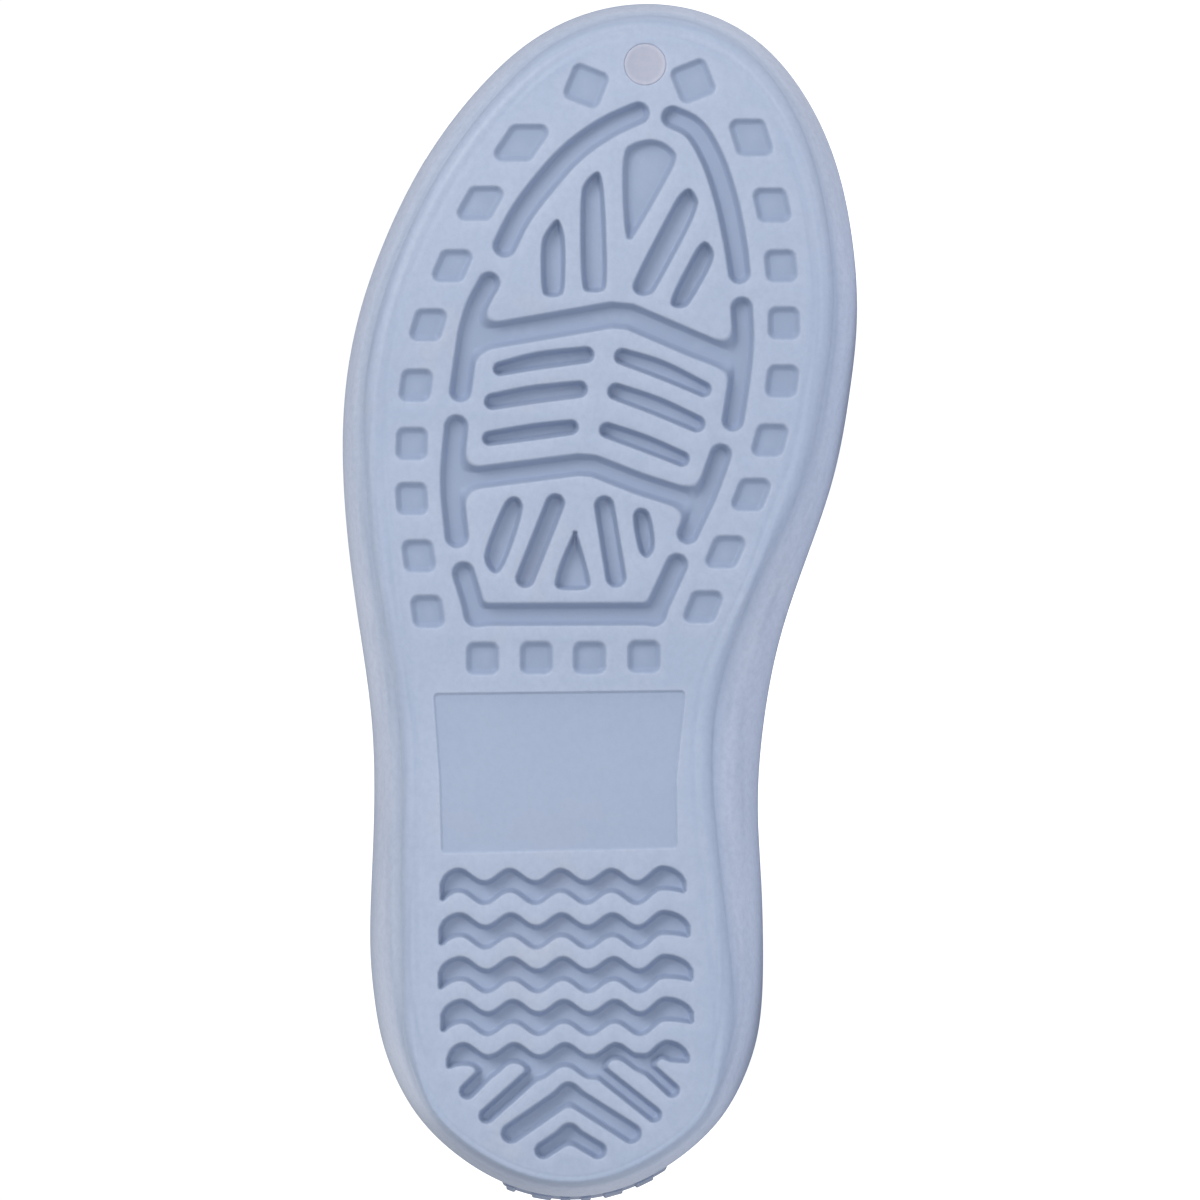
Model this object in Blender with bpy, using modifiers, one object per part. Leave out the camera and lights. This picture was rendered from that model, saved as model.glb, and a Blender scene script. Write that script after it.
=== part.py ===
"""A child's right deck boot in moulded foam, lying on its inner side.

The boot is first drawn standing: x runs from heel to toe, y towards the big
toe side, z up from the tread. At the end an empty lays it down on the side
edge of its sole and the edge of its collar.
"""
import math

import bmesh
import bpy
import numpy as np
from mathutils import Matrix, Vector

# Sole
SOLE_LENGTH = 0.205
BALL_WIDTH = 0.0886
HEEL_THICKNESS = 0.022
FOREFOOT_THICKNESS = 0.015
TOE_SPRING = 0.008
ARCH_RISE = 0.0012
HEEL_ROLL = 0.0015
WAIST_FLARE = 0.0087
BEAD_WIDTH = 0.0023
BEAD_RISE = 0.0019
SOLE_TOP_INSET = 0.0008

# Tread
GROOVE_WIDTH = 0.0040
GROOVE_DEPTH = 0.0028
PAD_SIZE = 0.0055
PAD_DEPTH = 0.0012
PAD_INSET_OUTER = 0.0059
PAD_INSET_INNER = 0.0055
PANEL_LAND = 0.0038
WAVE_LAND = 0.0042
PANEL_DEPTH = 0.0005
WAVE_PITCH = 0.0087
WAVE_HEIGHT = 0.0011
WAVE_WIDTH = 0.0041
GATE_RADIUS = 0.0036
GATE_DEPTH = 0.0009
GATE_THICKNESS = 0.0005

# Upper
WALL = 0.003
LEDGE = 0.0016
ANKLE_HEIGHT = 0.080
BOOT_HEIGHT = 0.125
ANKLE_LENGTH = 0.1085
SHAFT_LENGTH = 0.091
SHAFT_WIDTH = 0.0645
CUFF_BAND = 0.0085
CUFF_STEP = 0.0008
GAP = 0.0003

# Insole
INSOLE_THICKNESS = 0.004
INSOLE_CLEARANCE = 0.0004

# Heel kick, a ribbed pad on the back of the upper
KICK_WIDTH = 0.0275
KICK_SHIFT = 0.0027
KICK_LOW = 0.027
KICK_HIGH = 0.060
KICK_THICKNESS = 0.0011
KICK_RIB = 0.0005

AROUND = 64

# The sole's outline and side: station from the heel as a share of
# SOLE_LENGTH, outer and inner half width as shares of BALL_WIDTH, and how far
# the side flares out over the crease there, as shares of WAIST_FLARE.
# At both ends the two half widths only place the tip across the sole.
SOLE = (
    # station, outer, inner, outer flare, inner flare
    (0.000, -0.004, 0.004, 0.27, 0.27),
    (0.033, 0.209, 0.217, 0.27, 0.27),
    (0.067, 0.290, 0.298, 0.28, 0.29),
    (0.100, 0.335, 0.341, 0.39, 0.43),
    (0.133, 0.362, 0.366, 0.47, 0.51),
    (0.167, 0.376, 0.376, 0.57, 0.57),
    (0.200, 0.383, 0.378, 0.64, 0.65),
    (0.267, 0.381, 0.374, 0.60, 0.78),
    (0.333, 0.376, 0.368, 0.56, 0.88),
    (0.400, 0.381, 0.380, 0.55, 0.98),
    (0.467, 0.401, 0.410, 0.50, 0.86),
    (0.533, 0.422, 0.460, 0.47, 0.69),
    (0.600, 0.435, 0.512, 0.46, 0.56),
    (0.667, 0.433, 0.543, 0.41, 0.52),
    (0.733, 0.408, 0.559, 0.38, 0.48),
    (0.800, 0.356, 0.551, 0.38, 0.46),
    (0.867, 0.279, 0.518, 0.39, 0.43),
    (0.933, 0.164, 0.443, 0.38, 0.36),
    (0.967, 0.077, 0.372, 0.34, 0.33),
    (1.000, -0.154, 0.154, 0.27, 0.27),
)

# The side of the sole, from the tread up: share of the flare that is still
# missing, and height as a share of what lies between crease and top edge.
SIDE = (
    (1.00, 0.00),
    (0.60, 0.12),
    (0.24, 0.33),
    (0.00, 0.64),
    (0.00, 0.82),
)

# Grooves of the forefoot and heel: width and depth as shares of GROOVE_WIDTH
# and GROOVE_DEPTH, then centre line points as station (share of SOLE_LENGTH)
# and place across (share of BALL_WIDTH, the inner side positive).
BARS = {
    "toe_bar_1": (1.02, 1.0, ((0.852, 0.050), (0.767, 0.050))),
    "toe_bar_2": (1.00, 1.0, ((0.811, -0.028), (0.763, -0.030))),
    "toe_bar_3": (0.98, 1.0, ((0.838, 0.238), (0.762, 0.143))),
    "toe_bar_4": (0.85, 1.0, ((0.792, 0.266), (0.751, 0.216))),
    "mid_bar_outer_1": (0.68, 0.9, ((0.693, -0.127), (0.704, 0.035))),
    "mid_bar_outer_2": (0.72, 0.9, ((0.665, -0.145), (0.675, 0.021))),
    "mid_bar_outer_3": (0.64, 0.9, ((0.635, -0.148), (0.643, 0.006))),
    "mid_bar_inner_1": (0.72, 0.9, ((0.702, 0.108), (0.676, 0.258))),
    "mid_bar_inner_2": (0.72, 0.9, ((0.672, 0.094), (0.647, 0.247))),
    "mid_bar_inner_3": (0.68, 0.9, ((0.640, 0.079), (0.618, 0.218))),
    "fan_1": (0.85, 1.0, ((0.577, -0.106), (0.528, -0.141))),
    "fan_2": (0.72, 1.0, ((0.581, -0.025), (0.517, -0.083))),
    "fan_3": (0.77, 1.0, ((0.579, 0.069), (0.518, 0.092))),
    "fan_4": (0.64, 1.0, ((0.569, 0.141), (0.539, 0.151))),
    "yoke": (0.98, 0.85, ((0.522, -0.202), (0.488, -0.177), (0.488, 0.166), (0.529, 0.210))),
    "chevron": (0.90, 1.0, ((0.055, -0.110), (0.088, 0.000), (0.055, 0.121))),
    "chevron_low": (0.77, 1.0, ((0.042, -0.047), (0.055, 0.001), (0.042, 0.058))),
}

ARCS = {
    "toe_arc_outer": (0.94, 0.85, ((0.795, -0.119), (0.820, -0.089), (0.846, -0.044),
                                   (0.873, 0.012), (0.893, 0.075), (0.906, 0.135))),
    "toe_arc_inner": (0.90, 0.85, ((0.903, 0.200), (0.892, 0.245), (0.867, 0.279),
                                   (0.833, 0.306), (0.797, 0.324), (0.772, 0.331))),
    "tee_side_outer": (0.94, 0.80, ((0.764, -0.152), (0.741, -0.179), (0.711, -0.195), (0.674, -0.208))),
    "tee_side_inner": (0.94, 0.80, ((0.743, 0.335), (0.717, 0.337), (0.688, 0.331), (0.650, 0.318))),
    "low_tee_side_outer": (1.00, 0.80, ((0.644, -0.216), (0.598, -0.224), (0.553, -0.214))),
    "low_tee_side_inner": (0.94, 0.80, ((0.621, 0.295), (0.589, 0.268), (0.556, 0.231))),
}

# Grooves that run into one of those above.
ARMS = {
    "tee_arm": (1.00, 0.80, ((0.718, -0.180), (0.737, 0.085), (0.735, 0.119), (0.711, 0.254), (0.703, 0.306))),
    "low_tee_arm": (0.94, 0.80, ((0.601, -0.204), (0.613, 0.019), (0.612, 0.050), (0.597, 0.139), (0.584, 0.242))),
    "prong_1": (0.72, 1.0, ((0.111, -0.138), (0.091, -0.197))),
    "prong_2": (0.77, 1.0, ((0.105, -0.050), (0.070, -0.158))),
    "prong_3": (0.77, 1.0, ((0.108, 0.054), (0.072, 0.168))),
    "prong_4": (0.72, 1.0, ((0.113, 0.142), (0.092, 0.202))),
}

# Tapered hollows: station, place across, and width as a share of GROOVE_WIDTH.
TAPERS = {
    "toe_drop": (0.85, ((0.884, 0.160, 1.4), (0.875, 0.158, 2.4), (0.857, 0.153, 2.3),
                        (0.830, 0.134, 1.4), (0.802, 0.118, 0.5))),
    "fan_wedge": (1.0, ((0.557, 0.015, 0.35), (0.536, 0.012, 1.0), (0.512, 0.009, 1.75), (0.508, 0.009, 1.6))),
}

PAD_STATIONS = (0.492, 0.539, 0.586, 0.632, 0.681, 0.730, 0.778, 0.830, 0.884)
# station, place across and turn of the two pads beside the gate mark
TOE_TIP_PADS = ((0.931, 0.034, 0.38), (0.936, 0.243, -0.38))
SHANK_STATION = 0.452
SHANK_PADS = (-0.164, -0.061, 0.042, 0.147)
PANEL = (0.289, 0.424)
WAVE_ROWS = (0.261, 0.224, 0.188, 0.151, 0.115)
WAVE_CREST = -0.014
GATE_PLACE = (0.948, 0.148)

# The upper, from its bottom edge to the ankle. Toe end and heel end of each
# section as shares of SOLE_LENGTH, how high each end lies on the way from the
# sole's top edge to ANKLE_HEIGHT, its width as a share of the sole's, and how
# far its outline has gone from the sole's shape to the shaft's oval.
FOOT = (
    # toe, toe height, heel, heel height, width, oval
    (1.000, 0.00, 0.000, 0.00, 1.00, 0.00),
    (1.000, 0.11, 0.000, 0.11, 1.00, 0.00),
    (1.004, 0.21, -0.004, 0.24, 1.00, 0.00),
    (0.990, 0.35, -0.005, 0.37, 0.99, 0.00),
    (0.945, 0.47, -0.002, 0.49, 0.94, 0.08),
    (0.865, 0.58, 0.003, 0.59, 0.86, 0.18),
    (0.765, 0.69, 0.009, 0.69, 0.80, 0.35),
    (0.660, 0.81, 0.015, 0.81, 0.76, 0.60),
    (0.592, 0.91, 0.020, 0.90, 0.74, 0.82),
)

# The shaft: height on the way from ANKLE_HEIGHT to the cuff, back edge as a
# share of SOLE_LENGTH, length on the way from ANKLE_LENGTH to SHAFT_LENGTH,
# and width as a share of SHAFT_WIDTH.
SHAFT = (
    (0.00, 0.025, 0.00, 0.965),
    (0.28, 0.029, 0.46, 0.955),
    (0.62, 0.030, 0.82, 0.965),
    (1.00, 0.026, 1.00, 1.000),
)

# The heel kick's face: place across as a share of KICK_WIDTH, rib height.
RIBS = (
    (0.00, 0.3), (0.04, 0.9), (0.09, 0.9), (0.12, 0.0), (0.16, 0.0), (0.19, 0.7),
    (0.30, 0.7), (0.33, 0.2), (0.36, 1.0), (0.41, 1.0), (0.44, 0.2), (0.47, 1.0),
    (0.54, 1.0), (0.57, 0.2), (0.61, 0.8), (0.72, 0.8), (0.75, 0.2), (0.79, 0.9),
    (0.90, 0.9), (0.93, 0.4), (1.00, 0.3),
)


def closed_spline(knots, values):
    """A smooth curve through values that repeats after one turn."""
    knots, values = np.array(knots), np.array(values)
    count = len(knots)
    steps = np.diff(np.append(knots, knots[0] + 2 * math.pi))
    rises = (np.roll(values, -1) - values) / steps
    matrix, right = np.zeros((count, count)), np.zeros(count)
    for i in range(count):
        before, after = steps[i - 1], steps[i]
        matrix[i, i - 1] = after
        matrix[i, i] = 2 * (before + after)
        matrix[i, (i + 1) % count] = before
        right[i] = 3 * (after * rises[i - 1] + before * rises[i])
    slopes = np.linalg.solve(matrix, right)

    def at(angle):
        angle = (angle - knots[0]) % (2 * math.pi) + knots[0]
        i = int(np.searchsorted(knots, angle, side="right")) - 1
        j = (i + 1) % count
        u = (angle - knots[i]) / steps[i]
        rise = values[j] - values[i]
        a = slopes[i] * steps[i] - rise
        b = rise - slopes[j] * steps[i]
        return float((1 - u) * values[i] + u * values[j] + u * (1 - u) * ((1 - u) * a + u * b))

    return at


def around_the_sole(outer, inner):
    """A closed curve through one column of SOLE for each side. The angle is
    0 at the heel, pi at the toe, and below 0 on the outer side."""
    angles = [math.acos(1 - 2 * row[0]) for row in SOLE]
    knots = [-a for a in angles[-2:0:-1]] + angles
    values = [row[outer] for row in SOLE[-2:0:-1]] + [row[inner] for row in SOLE]
    return closed_spline(knots, values)


ACROSS = closed_spline(
    [-math.acos(1 - 2 * row[0]) for row in SOLE[-2:0:-1]] + [math.acos(1 - 2 * row[0]) for row in SOLE],
    [-row[1] for row in SOLE[-2:0:-1]] + [row[2] for row in SOLE])
FLARE = around_the_sole(3, 4)


def outline(angle):
    return Vector((SOLE_LENGTH * (1 - math.cos(angle)) / 2, BALL_WIDTH * ACROSS(angle)))


def inset(angle, distance):
    """The outline moved in by a distance."""
    ahead = outline(angle + 0.01) - outline(angle - 0.01)
    return outline(angle) + distance * Vector((ahead.y, -ahead.x)).normalized()


def plate(angle, margin=0.0):
    """The edge of the flat tread plate, moved in by a margin."""
    return inset(angle, FLARE(angle) * WAIST_FLARE + BEAD_WIDTH + margin)


def plate_at(station, side, margin):
    """Angle and point where the plate's edge, moved in, passes a station."""
    low, high = 0.0, math.pi
    for _ in range(40):
        middle = (low + high) / 2
        if plate(side * middle, margin).x < station * SOLE_LENGTH:
            low = middle
        else:
            high = middle
    return side * low, plate(side * low, margin)


def ramp(x):
    x = min(max(x, 0.0), 1.0)
    return x * x * (3 - 2 * x)


def spring(x):
    return TOE_SPRING * max(0.0, (x / SOLE_LENGTH - 0.72) / 0.28) ** 2


def bottom(x):
    """Height of the tread: flat under heel and ball, up at both ends."""
    s = x / SOLE_LENGTH
    roll = HEEL_ROLL * max(0.0, (0.08 - s) / 0.08) ** 2
    arch = ARCH_RISE * math.sin(math.pi * min(max((s - 0.30) / 0.22, 0.0), 1.0)) ** 2
    return roll + arch + spring(x)


def top(x):
    """Height of the sole's top edge, where the upper begins."""
    fall = ramp((x / SOLE_LENGTH - 0.22) / 0.40)
    return HEEL_THICKNESS + fall * (FOREFOOT_THICKNESS - HEEL_THICKNESS) + spring(x)


def angles(count=AROUND):
    return [2 * math.pi * i / count for i in range(count)]


def make(name, bm, collection):
    mesh = bpy.data.meshes.new(name)
    bm.to_mesh(mesh)
    bm.free()
    obj = bpy.data.objects.new(name, mesh)
    collection.objects.link(obj)
    return obj


def loft(rings, close_first=True, close_last=True):
    """Rings joined into a skin, each open end closed across the sole."""
    bm = bmesh.new()
    loops = [[bm.verts.new(p) for p in ring] for ring in rings]
    count = len(loops[0])
    for lower, upper in zip(loops, loops[1:]):
        for i in range(count):
            j = (i + 1) % count
            bm.faces.new((lower[i], lower[j], upper[j], upper[i]))
    for loop, wanted in ((loops[0], close_first), (loops[-1], close_last)):
        if not wanted:
            continue
        half = count // 2
        bm.faces.new((loop[0], loop[1], loop[-1]))
        for i in range(1, half - 1):
            bm.faces.new((loop[i], loop[i + 1], loop[-i - 1], loop[-i]))
        bm.faces.new((loop[half - 1], loop[half], loop[half + 1]))
    bmesh.ops.recalc_face_normals(bm, faces=bm.faces)
    return bm


def outsole_rings():
    def ring(distance, height):
        points = []
        for angle in angles():
            p = inset(angle, distance(angle))
            points.append((p.x, p.y, height(p.x)))
        return points

    def flare(angle):
        return FLARE(angle) * WAIST_FLARE

    rings = [ring(lambda a: flare(a) + BEAD_WIDTH, bottom),
             ring(lambda a: flare(a) + BEAD_WIDTH * 0.30, lambda x: bottom(x) + BEAD_RISE * 0.32)]
    for missing, rise in SIDE:
        rings.append(ring(lambda a: flare(a) * missing,
                          lambda x: bottom(x) + BEAD_RISE + rise * (top(x) - bottom(x) - BEAD_RISE)))
    rings.append(ring(lambda a: SOLE_TOP_INSET, top))
    return rings


def strip(bm, pairs, depth):
    """A cutter over a strip of left and right points, from under the tread
    up to a floor that follows it."""
    rows = []
    for left, right in pairs:
        rows.append([bm.verts.new((p.x, p.y, z(p.x))) for z in
                     (lambda x: bottom(x) - 0.001, lambda x: bottom(x) + depth) for p in (left, right)])
    for a, b in zip(rows, rows[1:]):
        for i, j in ((0, 1), (1, 3), (3, 2), (2, 0)):
            bm.faces.new((a[i], a[j], b[j], b[i]))
    for end in (rows[0], rows[-1]):
        bm.faces.new((end[0], end[1], end[3], end[2]))


def place(station, across):
    return Vector((station * SOLE_LENGTH, across * BALL_WIDTH))


def smooth(points, parts=4):
    """More points on a soft line through the given ones."""
    out = []
    for i in range(len(points) - 1):
        a, b, c, d = (points[max(i - 1, 0)], points[i], points[i + 1], points[min(i + 2, len(points) - 1)])
        for k in range(parts):
            t = k / parts
            out.append(b + 0.5 * t * ((c - a) + t * (2 * a - 5 * b + 4 * c - d + t * (3 * b - a - 3 * c + d))))
    return out + [points[-1]]


def blunt(points, width):
    """A line and its widths, with both ends carried on and narrowed."""
    first = (points[0] - points[1]).normalized() * width
    last = (points[-1] - points[-2]).normalized() * width
    line = [points[0] + 0.46 * first, points[0] + 0.14 * first] + points[1:-1]
    line += [points[-1] + 0.14 * last, points[-1] + 0.46 * last]
    return line, [0.55 * width] + [width] * (len(line) - 2) + [0.55 * width]


def stroke(points, widths):
    """Left and right edge points of a line with a width, corners mitred."""
    pairs = []
    for i, point in enumerate(points):
        before = (point - points[i - 1]).normalized() if i else None
        after = (points[i + 1] - point).normalized() if i + 1 < len(points) else None
        along = ((before or after) + (after or before)).normalized()
        side = Vector((-along.y, along.x)) / max(along.dot(after or before), 0.5)
        pairs.append((point + side * widths[i] / 2, point - side * widths[i] / 2))
    return pairs


def tread_grooves(bm):
    for width, depth, points in BARS.values():
        strip(bm, stroke(*blunt([place(*p) for p in points], width * GROOVE_WIDTH)), depth * GROOVE_DEPTH)
    for width, depth, points in ARCS.values():
        line = smooth([place(*p) for p in points], 2)
        strip(bm, stroke(*blunt(line, width * GROOVE_WIDTH)), depth * GROOVE_DEPTH)
    for depth, points in TAPERS.values():
        line = [place(*p[:2]) for p in points]
        strip(bm, stroke(line, [p[2] * GROOVE_WIDTH for p in points]), depth * GROOVE_DEPTH)


def tread_arms(bm):
    for width, depth, points in ARMS.values():
        strip(bm, stroke(*blunt([place(*p) for p in points], width * GROOVE_WIDTH)), depth * GROOVE_DEPTH)


def tread_waves(bm):
    """Wavy grooves across the heel."""
    for row, station in enumerate(WAVE_ROWS):
        left = plate_at(station, -1, WAVE_LAND)[1].y
        right = plate_at(station, 1, WAVE_LAND)[1].y
        crest = WAVE_CREST * BALL_WIDTH + row * 0.02 * WAVE_PITCH
        steps = round((right - left) / WAVE_PITCH * 6)
        pairs = []
        for k in range(steps + 1):
            y = left + (right - left) * k / steps
            middle = station * SOLE_LENGTH + WAVE_HEIGHT * math.cos(2 * math.pi * (y - crest) / WAVE_PITCH)
            pairs.append((Vector((middle + WAVE_WIDTH / 2, y)), Vector((middle - WAVE_WIDTH / 2, y))))
        strip(bm, pairs, GROOVE_DEPTH)


def tread_pads(bm):
    """Shallow square pads along both edges, and a row across the waist."""
    half = PAD_SIZE / 2
    for side, margin in ((-1, PAD_INSET_OUTER), (1, PAD_INSET_INNER)):
        for station in PAD_STATIONS:
            angle, centre = plate_at(station, side, margin)
            along = (plate(angle + 0.02, margin) - plate(angle - 0.02, margin)).normalized()
            along = along / abs(along.x)
            across = Vector((0, 1))
            ends = (centre - along * half, centre + along * half)
            strip(bm, [(p + across * half, p - across * half) for p in ends], PAD_DEPTH)
    for across in SHANK_PADS:
        centre = place(SHANK_STATION, across)
        ends = (centre - Vector((half, 0)), centre + Vector((half, 0)))
        strip(bm, [(p + Vector((0, half)), p - Vector((0, half))) for p in ends], PAD_DEPTH)
    for station, across, turn in TOE_TIP_PADS:
        centre = place(station, across)
        along = Vector((math.cos(turn), math.sin(turn)))
        across = Vector((-along.y, along.x))
        ends = (centre - along * half, centre + along * half)
        strip(bm, [(p + across * half, p - across * half) for p in ends], PAD_DEPTH)


def tread_panel(bm):
    """A shallow bare panel under the arch."""
    pairs = []
    for k in range(7):
        station = PANEL[0] + (PANEL[1] - PANEL[0]) * k / 6
        pairs.append((plate_at(station, 1, PANEL_LAND)[1], plate_at(station, -1, PANEL_LAND)[1]))
    strip(bm, pairs, PANEL_DEPTH)


def cut(target, cutter):
    cutter.hide_render = True
    cutter.display_type = "WIRE"
    modifier = target.modifiers.new(cutter.name, "BOOLEAN")
    modifier.operation = "DIFFERENCE"
    modifier.solver = "EXACT"
    modifier.object = cutter


def disc(name, radius, low, high, collection):
    """A round slug at the gate mark, square to the tread there."""
    centre = place(*GATE_PLACE)
    slope = (bottom(centre.x + 0.001) - bottom(centre.x - 0.001)) / 0.002
    bm = bmesh.new()
    bmesh.ops.create_cone(bm, cap_ends=True, segments=24, radius1=radius, radius2=radius, depth=high - low)
    bmesh.ops.translate(bm, verts=bm.verts, vec=(0, 0, (low + high) / 2))
    obj = make(name, bm, collection)
    obj.location = (centre.x, centre.y, bottom(centre.x))
    obj.rotation_euler = (0, -math.atan(slope), 0)
    return obj


def upper_rows():
    """Every section of the upper: toe end x and z, heel end x and z, width of
    its sole shape, width of its oval, and how far it has become the oval."""
    rows = []
    for toe, toe_up, heel, heel_up, width, oval in FOOT:
        front = LEDGE + toe * (SOLE_LENGTH - 2 * LEDGE)
        back = LEDGE + heel * (SOLE_LENGTH - 2 * LEDGE)
        rows.append((front, GAP + top(front) + toe_up * (ANKLE_HEIGHT - top(front)),
                     back, GAP + top(back) + heel_up * (ANKLE_HEIGHT - top(back)),
                     width, SHAFT_WIDTH, oval))
    cuff = BOOT_HEIGHT - CUFF_BAND
    for up, back, shorter, width in SHAFT:
        back = back * SOLE_LENGTH
        front = back + ANKLE_LENGTH + shorter * (SHAFT_LENGTH - ANKLE_LENGTH)
        z = ANKLE_HEIGHT + up * (cuff - ANKLE_HEIGHT)
        rows.append((front, z, back, z, FOOT[-1][4], width * SHAFT_WIDTH, 1.0))
    return rows


ROWS = upper_rows()


def upper_section(level):
    """The sizes of a section between two of those in the tables."""
    if level <= 1:
        return [p + level * (q - p) for p, q in zip(ROWS[0], ROWS[1])]
    i = min(int(level), len(ROWS) - 2)
    t = level - i
    rows = (ROWS[i - 1], ROWS[i], ROWS[i + 1], ROWS[min(i + 2, len(ROWS) - 1)])
    return [q + 0.5 * t * ((r - p) + t * (2 * p - 5 * q + 4 * r - s + t * (3 * q - p - 3 * r + s)))
            for p, q, r, s in zip(*rows)]


def upper_point(angle, level, swell=0.0):
    """A point of the upper's outer face: level counts the sections."""
    front, front_z, back, back_z, width, oval_width, oval = upper_section(level)
    foot = inset(angle, LEDGE)
    share = (foot.x - LEDGE) / (SOLE_LENGTH - 2 * LEDGE)
    # the sole's top edge dips below a straight line from heel to toe
    dip = top(foot.x) - top(LEDGE) - share * (top(SOLE_LENGTH - LEDGE) - top(LEDGE))
    share += oval * ((1 - math.cos(angle)) / 2 - share)
    side = (1 - oval) * width * foot.y + oval * (oval_width / 2 + swell) * math.sin(angle)
    return Vector((back - swell + share * (front - back + 2 * swell), side,
                   back_z + share * (front_z - back_z) + dip * min(1.0, max(0.0, 1 - (level - 1) / 4))))


def upper_rings():
    levels = [0, 1, 1.5, 2, 2.5, 3, 3.5, 4, 4.5, 5, 6, 6.5, 7, 7.5, 8, 8.5, 9, 9.5, 10, 11, 12]
    rings = [[upper_point(a, level) for a in angles()] for level in levels]
    last = len(ROWS) - 1
    for share in (0.06, 1.0):
        rings.append([upper_point(a, last, CUFF_STEP) + Vector((0, 0, share * CUFF_BAND)) for a in angles()])
    return rings


def insole_rings():
    edge = LEDGE + WALL + INSOLE_CLEARANCE
    rings = []
    for extra, low in ((0.0, GAP), (0.0, GAP + INSOLE_THICKNESS * 0.75), (0.0010, GAP + INSOLE_THICKNESS)):
        ring = []
        for angle in angles():
            p = inset(angle, edge + extra)
            ring.append((p.x, p.y, top(p.x) + low))
        rings.append(ring)
    return rings


def kick_point(across, up, lift):
    """A point over the back of the upper, found by its place and height."""
    y, z = KICK_SHIFT + (across - 0.5) * KICK_WIDTH, KICK_LOW + up * (KICK_HIGH - KICK_LOW)
    angle, level = 0.0, 3.0
    for _ in range(30):
        p = upper_point(angle, level)
        slope_y = (upper_point(angle + 0.01, level) - p).y / 0.01
        slope_z = (upper_point(angle, level + 0.01) - p).z / 0.01
        angle += (y - p.y) / slope_y
        level += (z - p.z) / slope_z
    p = upper_point(angle, level)
    normal = (upper_point(angle, level + 0.01) - p).cross(upper_point(angle + 0.01, level) - p)
    return p + normal.normalized() * lift


def heel_kick():
    """The pad as a block of upright ribs that follows the heel."""
    bm = bmesh.new()
    ups = [k / 6 for k in range(7)]
    grids = []
    for outer in (False, True):
        grid = []
        for across, rib in RIBS:
            column = []
            for up in ups:
                lift = GAP
                if outer:
                    lift += KICK_THICKNESS + KICK_RIB * rib
                    lift -= 0.4 * KICK_THICKNESS * (up in (0.0, 1.0))
                column.append(bm.verts.new(kick_point(across, up, lift)))
            grid.append(column)
        grids.append(grid)
    for grid in grids:
        for a, b in zip(grid, grid[1:]):
            for k in range(len(ups) - 1):
                bm.faces.new((a[k], b[k], b[k + 1], a[k + 1]))
    inner, outer = grids
    for k in range(len(ups) - 1):
        for i in (0, -1):
            bm.faces.new((inner[i][k], inner[i][k + 1], outer[i][k + 1], outer[i][k]))
    for i in range(len(RIBS) - 1):
        for k in (0, -1):
            bm.faces.new((inner[i][k], inner[i + 1][k], outer[i + 1][k], outer[i][k]))
    bmesh.ops.recalc_face_normals(bm, faces=bm.faces)
    return bm


def material(name, colour, roughness):
    mat = bpy.data.materials.new(name)
    mat.use_nodes = True
    shader = mat.node_tree.nodes["Principled BSDF"]
    shader.inputs["Base Color"].default_value = (*colour, 1)
    shader.inputs["Roughness"].default_value = roughness
    shader.inputs["Metallic"].default_value = 0.0
    return mat


def resting_turn(objects):
    """The turn that lays the standing boot down on its inner side: the side
    of its hull that lies under its middle becomes the underside."""
    bpy.context.view_layer.update()
    depsgraph = bpy.context.evaluated_depsgraph_get()
    bm = bmesh.new()
    for obj in objects:
        evaluated = obj.evaluated_get(depsgraph)
        for vertex in evaluated.data.vertices:
            bm.verts.new(evaluated.matrix_world @ vertex.co)
    hull = bmesh.ops.convex_hull(bm, input=bm.verts)
    faces = [f for f in hull["geom"] if isinstance(f, bmesh.types.BMFace)]
    middle = Vector((0.46 * SOLE_LENGTH, 0.0, 0.36 * BOOT_HEIGHT))
    down = Vector((0, 1, 0))
    for _ in range(6):
        best = None
        for face in faces:
            face.normal_update()
            facing = face.normal.dot(down)
            if facing < 0.2:
                continue
            reach = (face.verts[0].co - middle).dot(face.normal) / facing
            if best is None or reach < best[0]:
                best = (reach, face.normal.copy())
        down = best[1]
    bm.free()
    forward = Vector((1, 0, 0))
    forward = (forward - forward.dot(down) * down).normalized()
    up = -down
    left = up.cross(forward)
    return Matrix((forward, left, up)).to_4x4()


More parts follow.
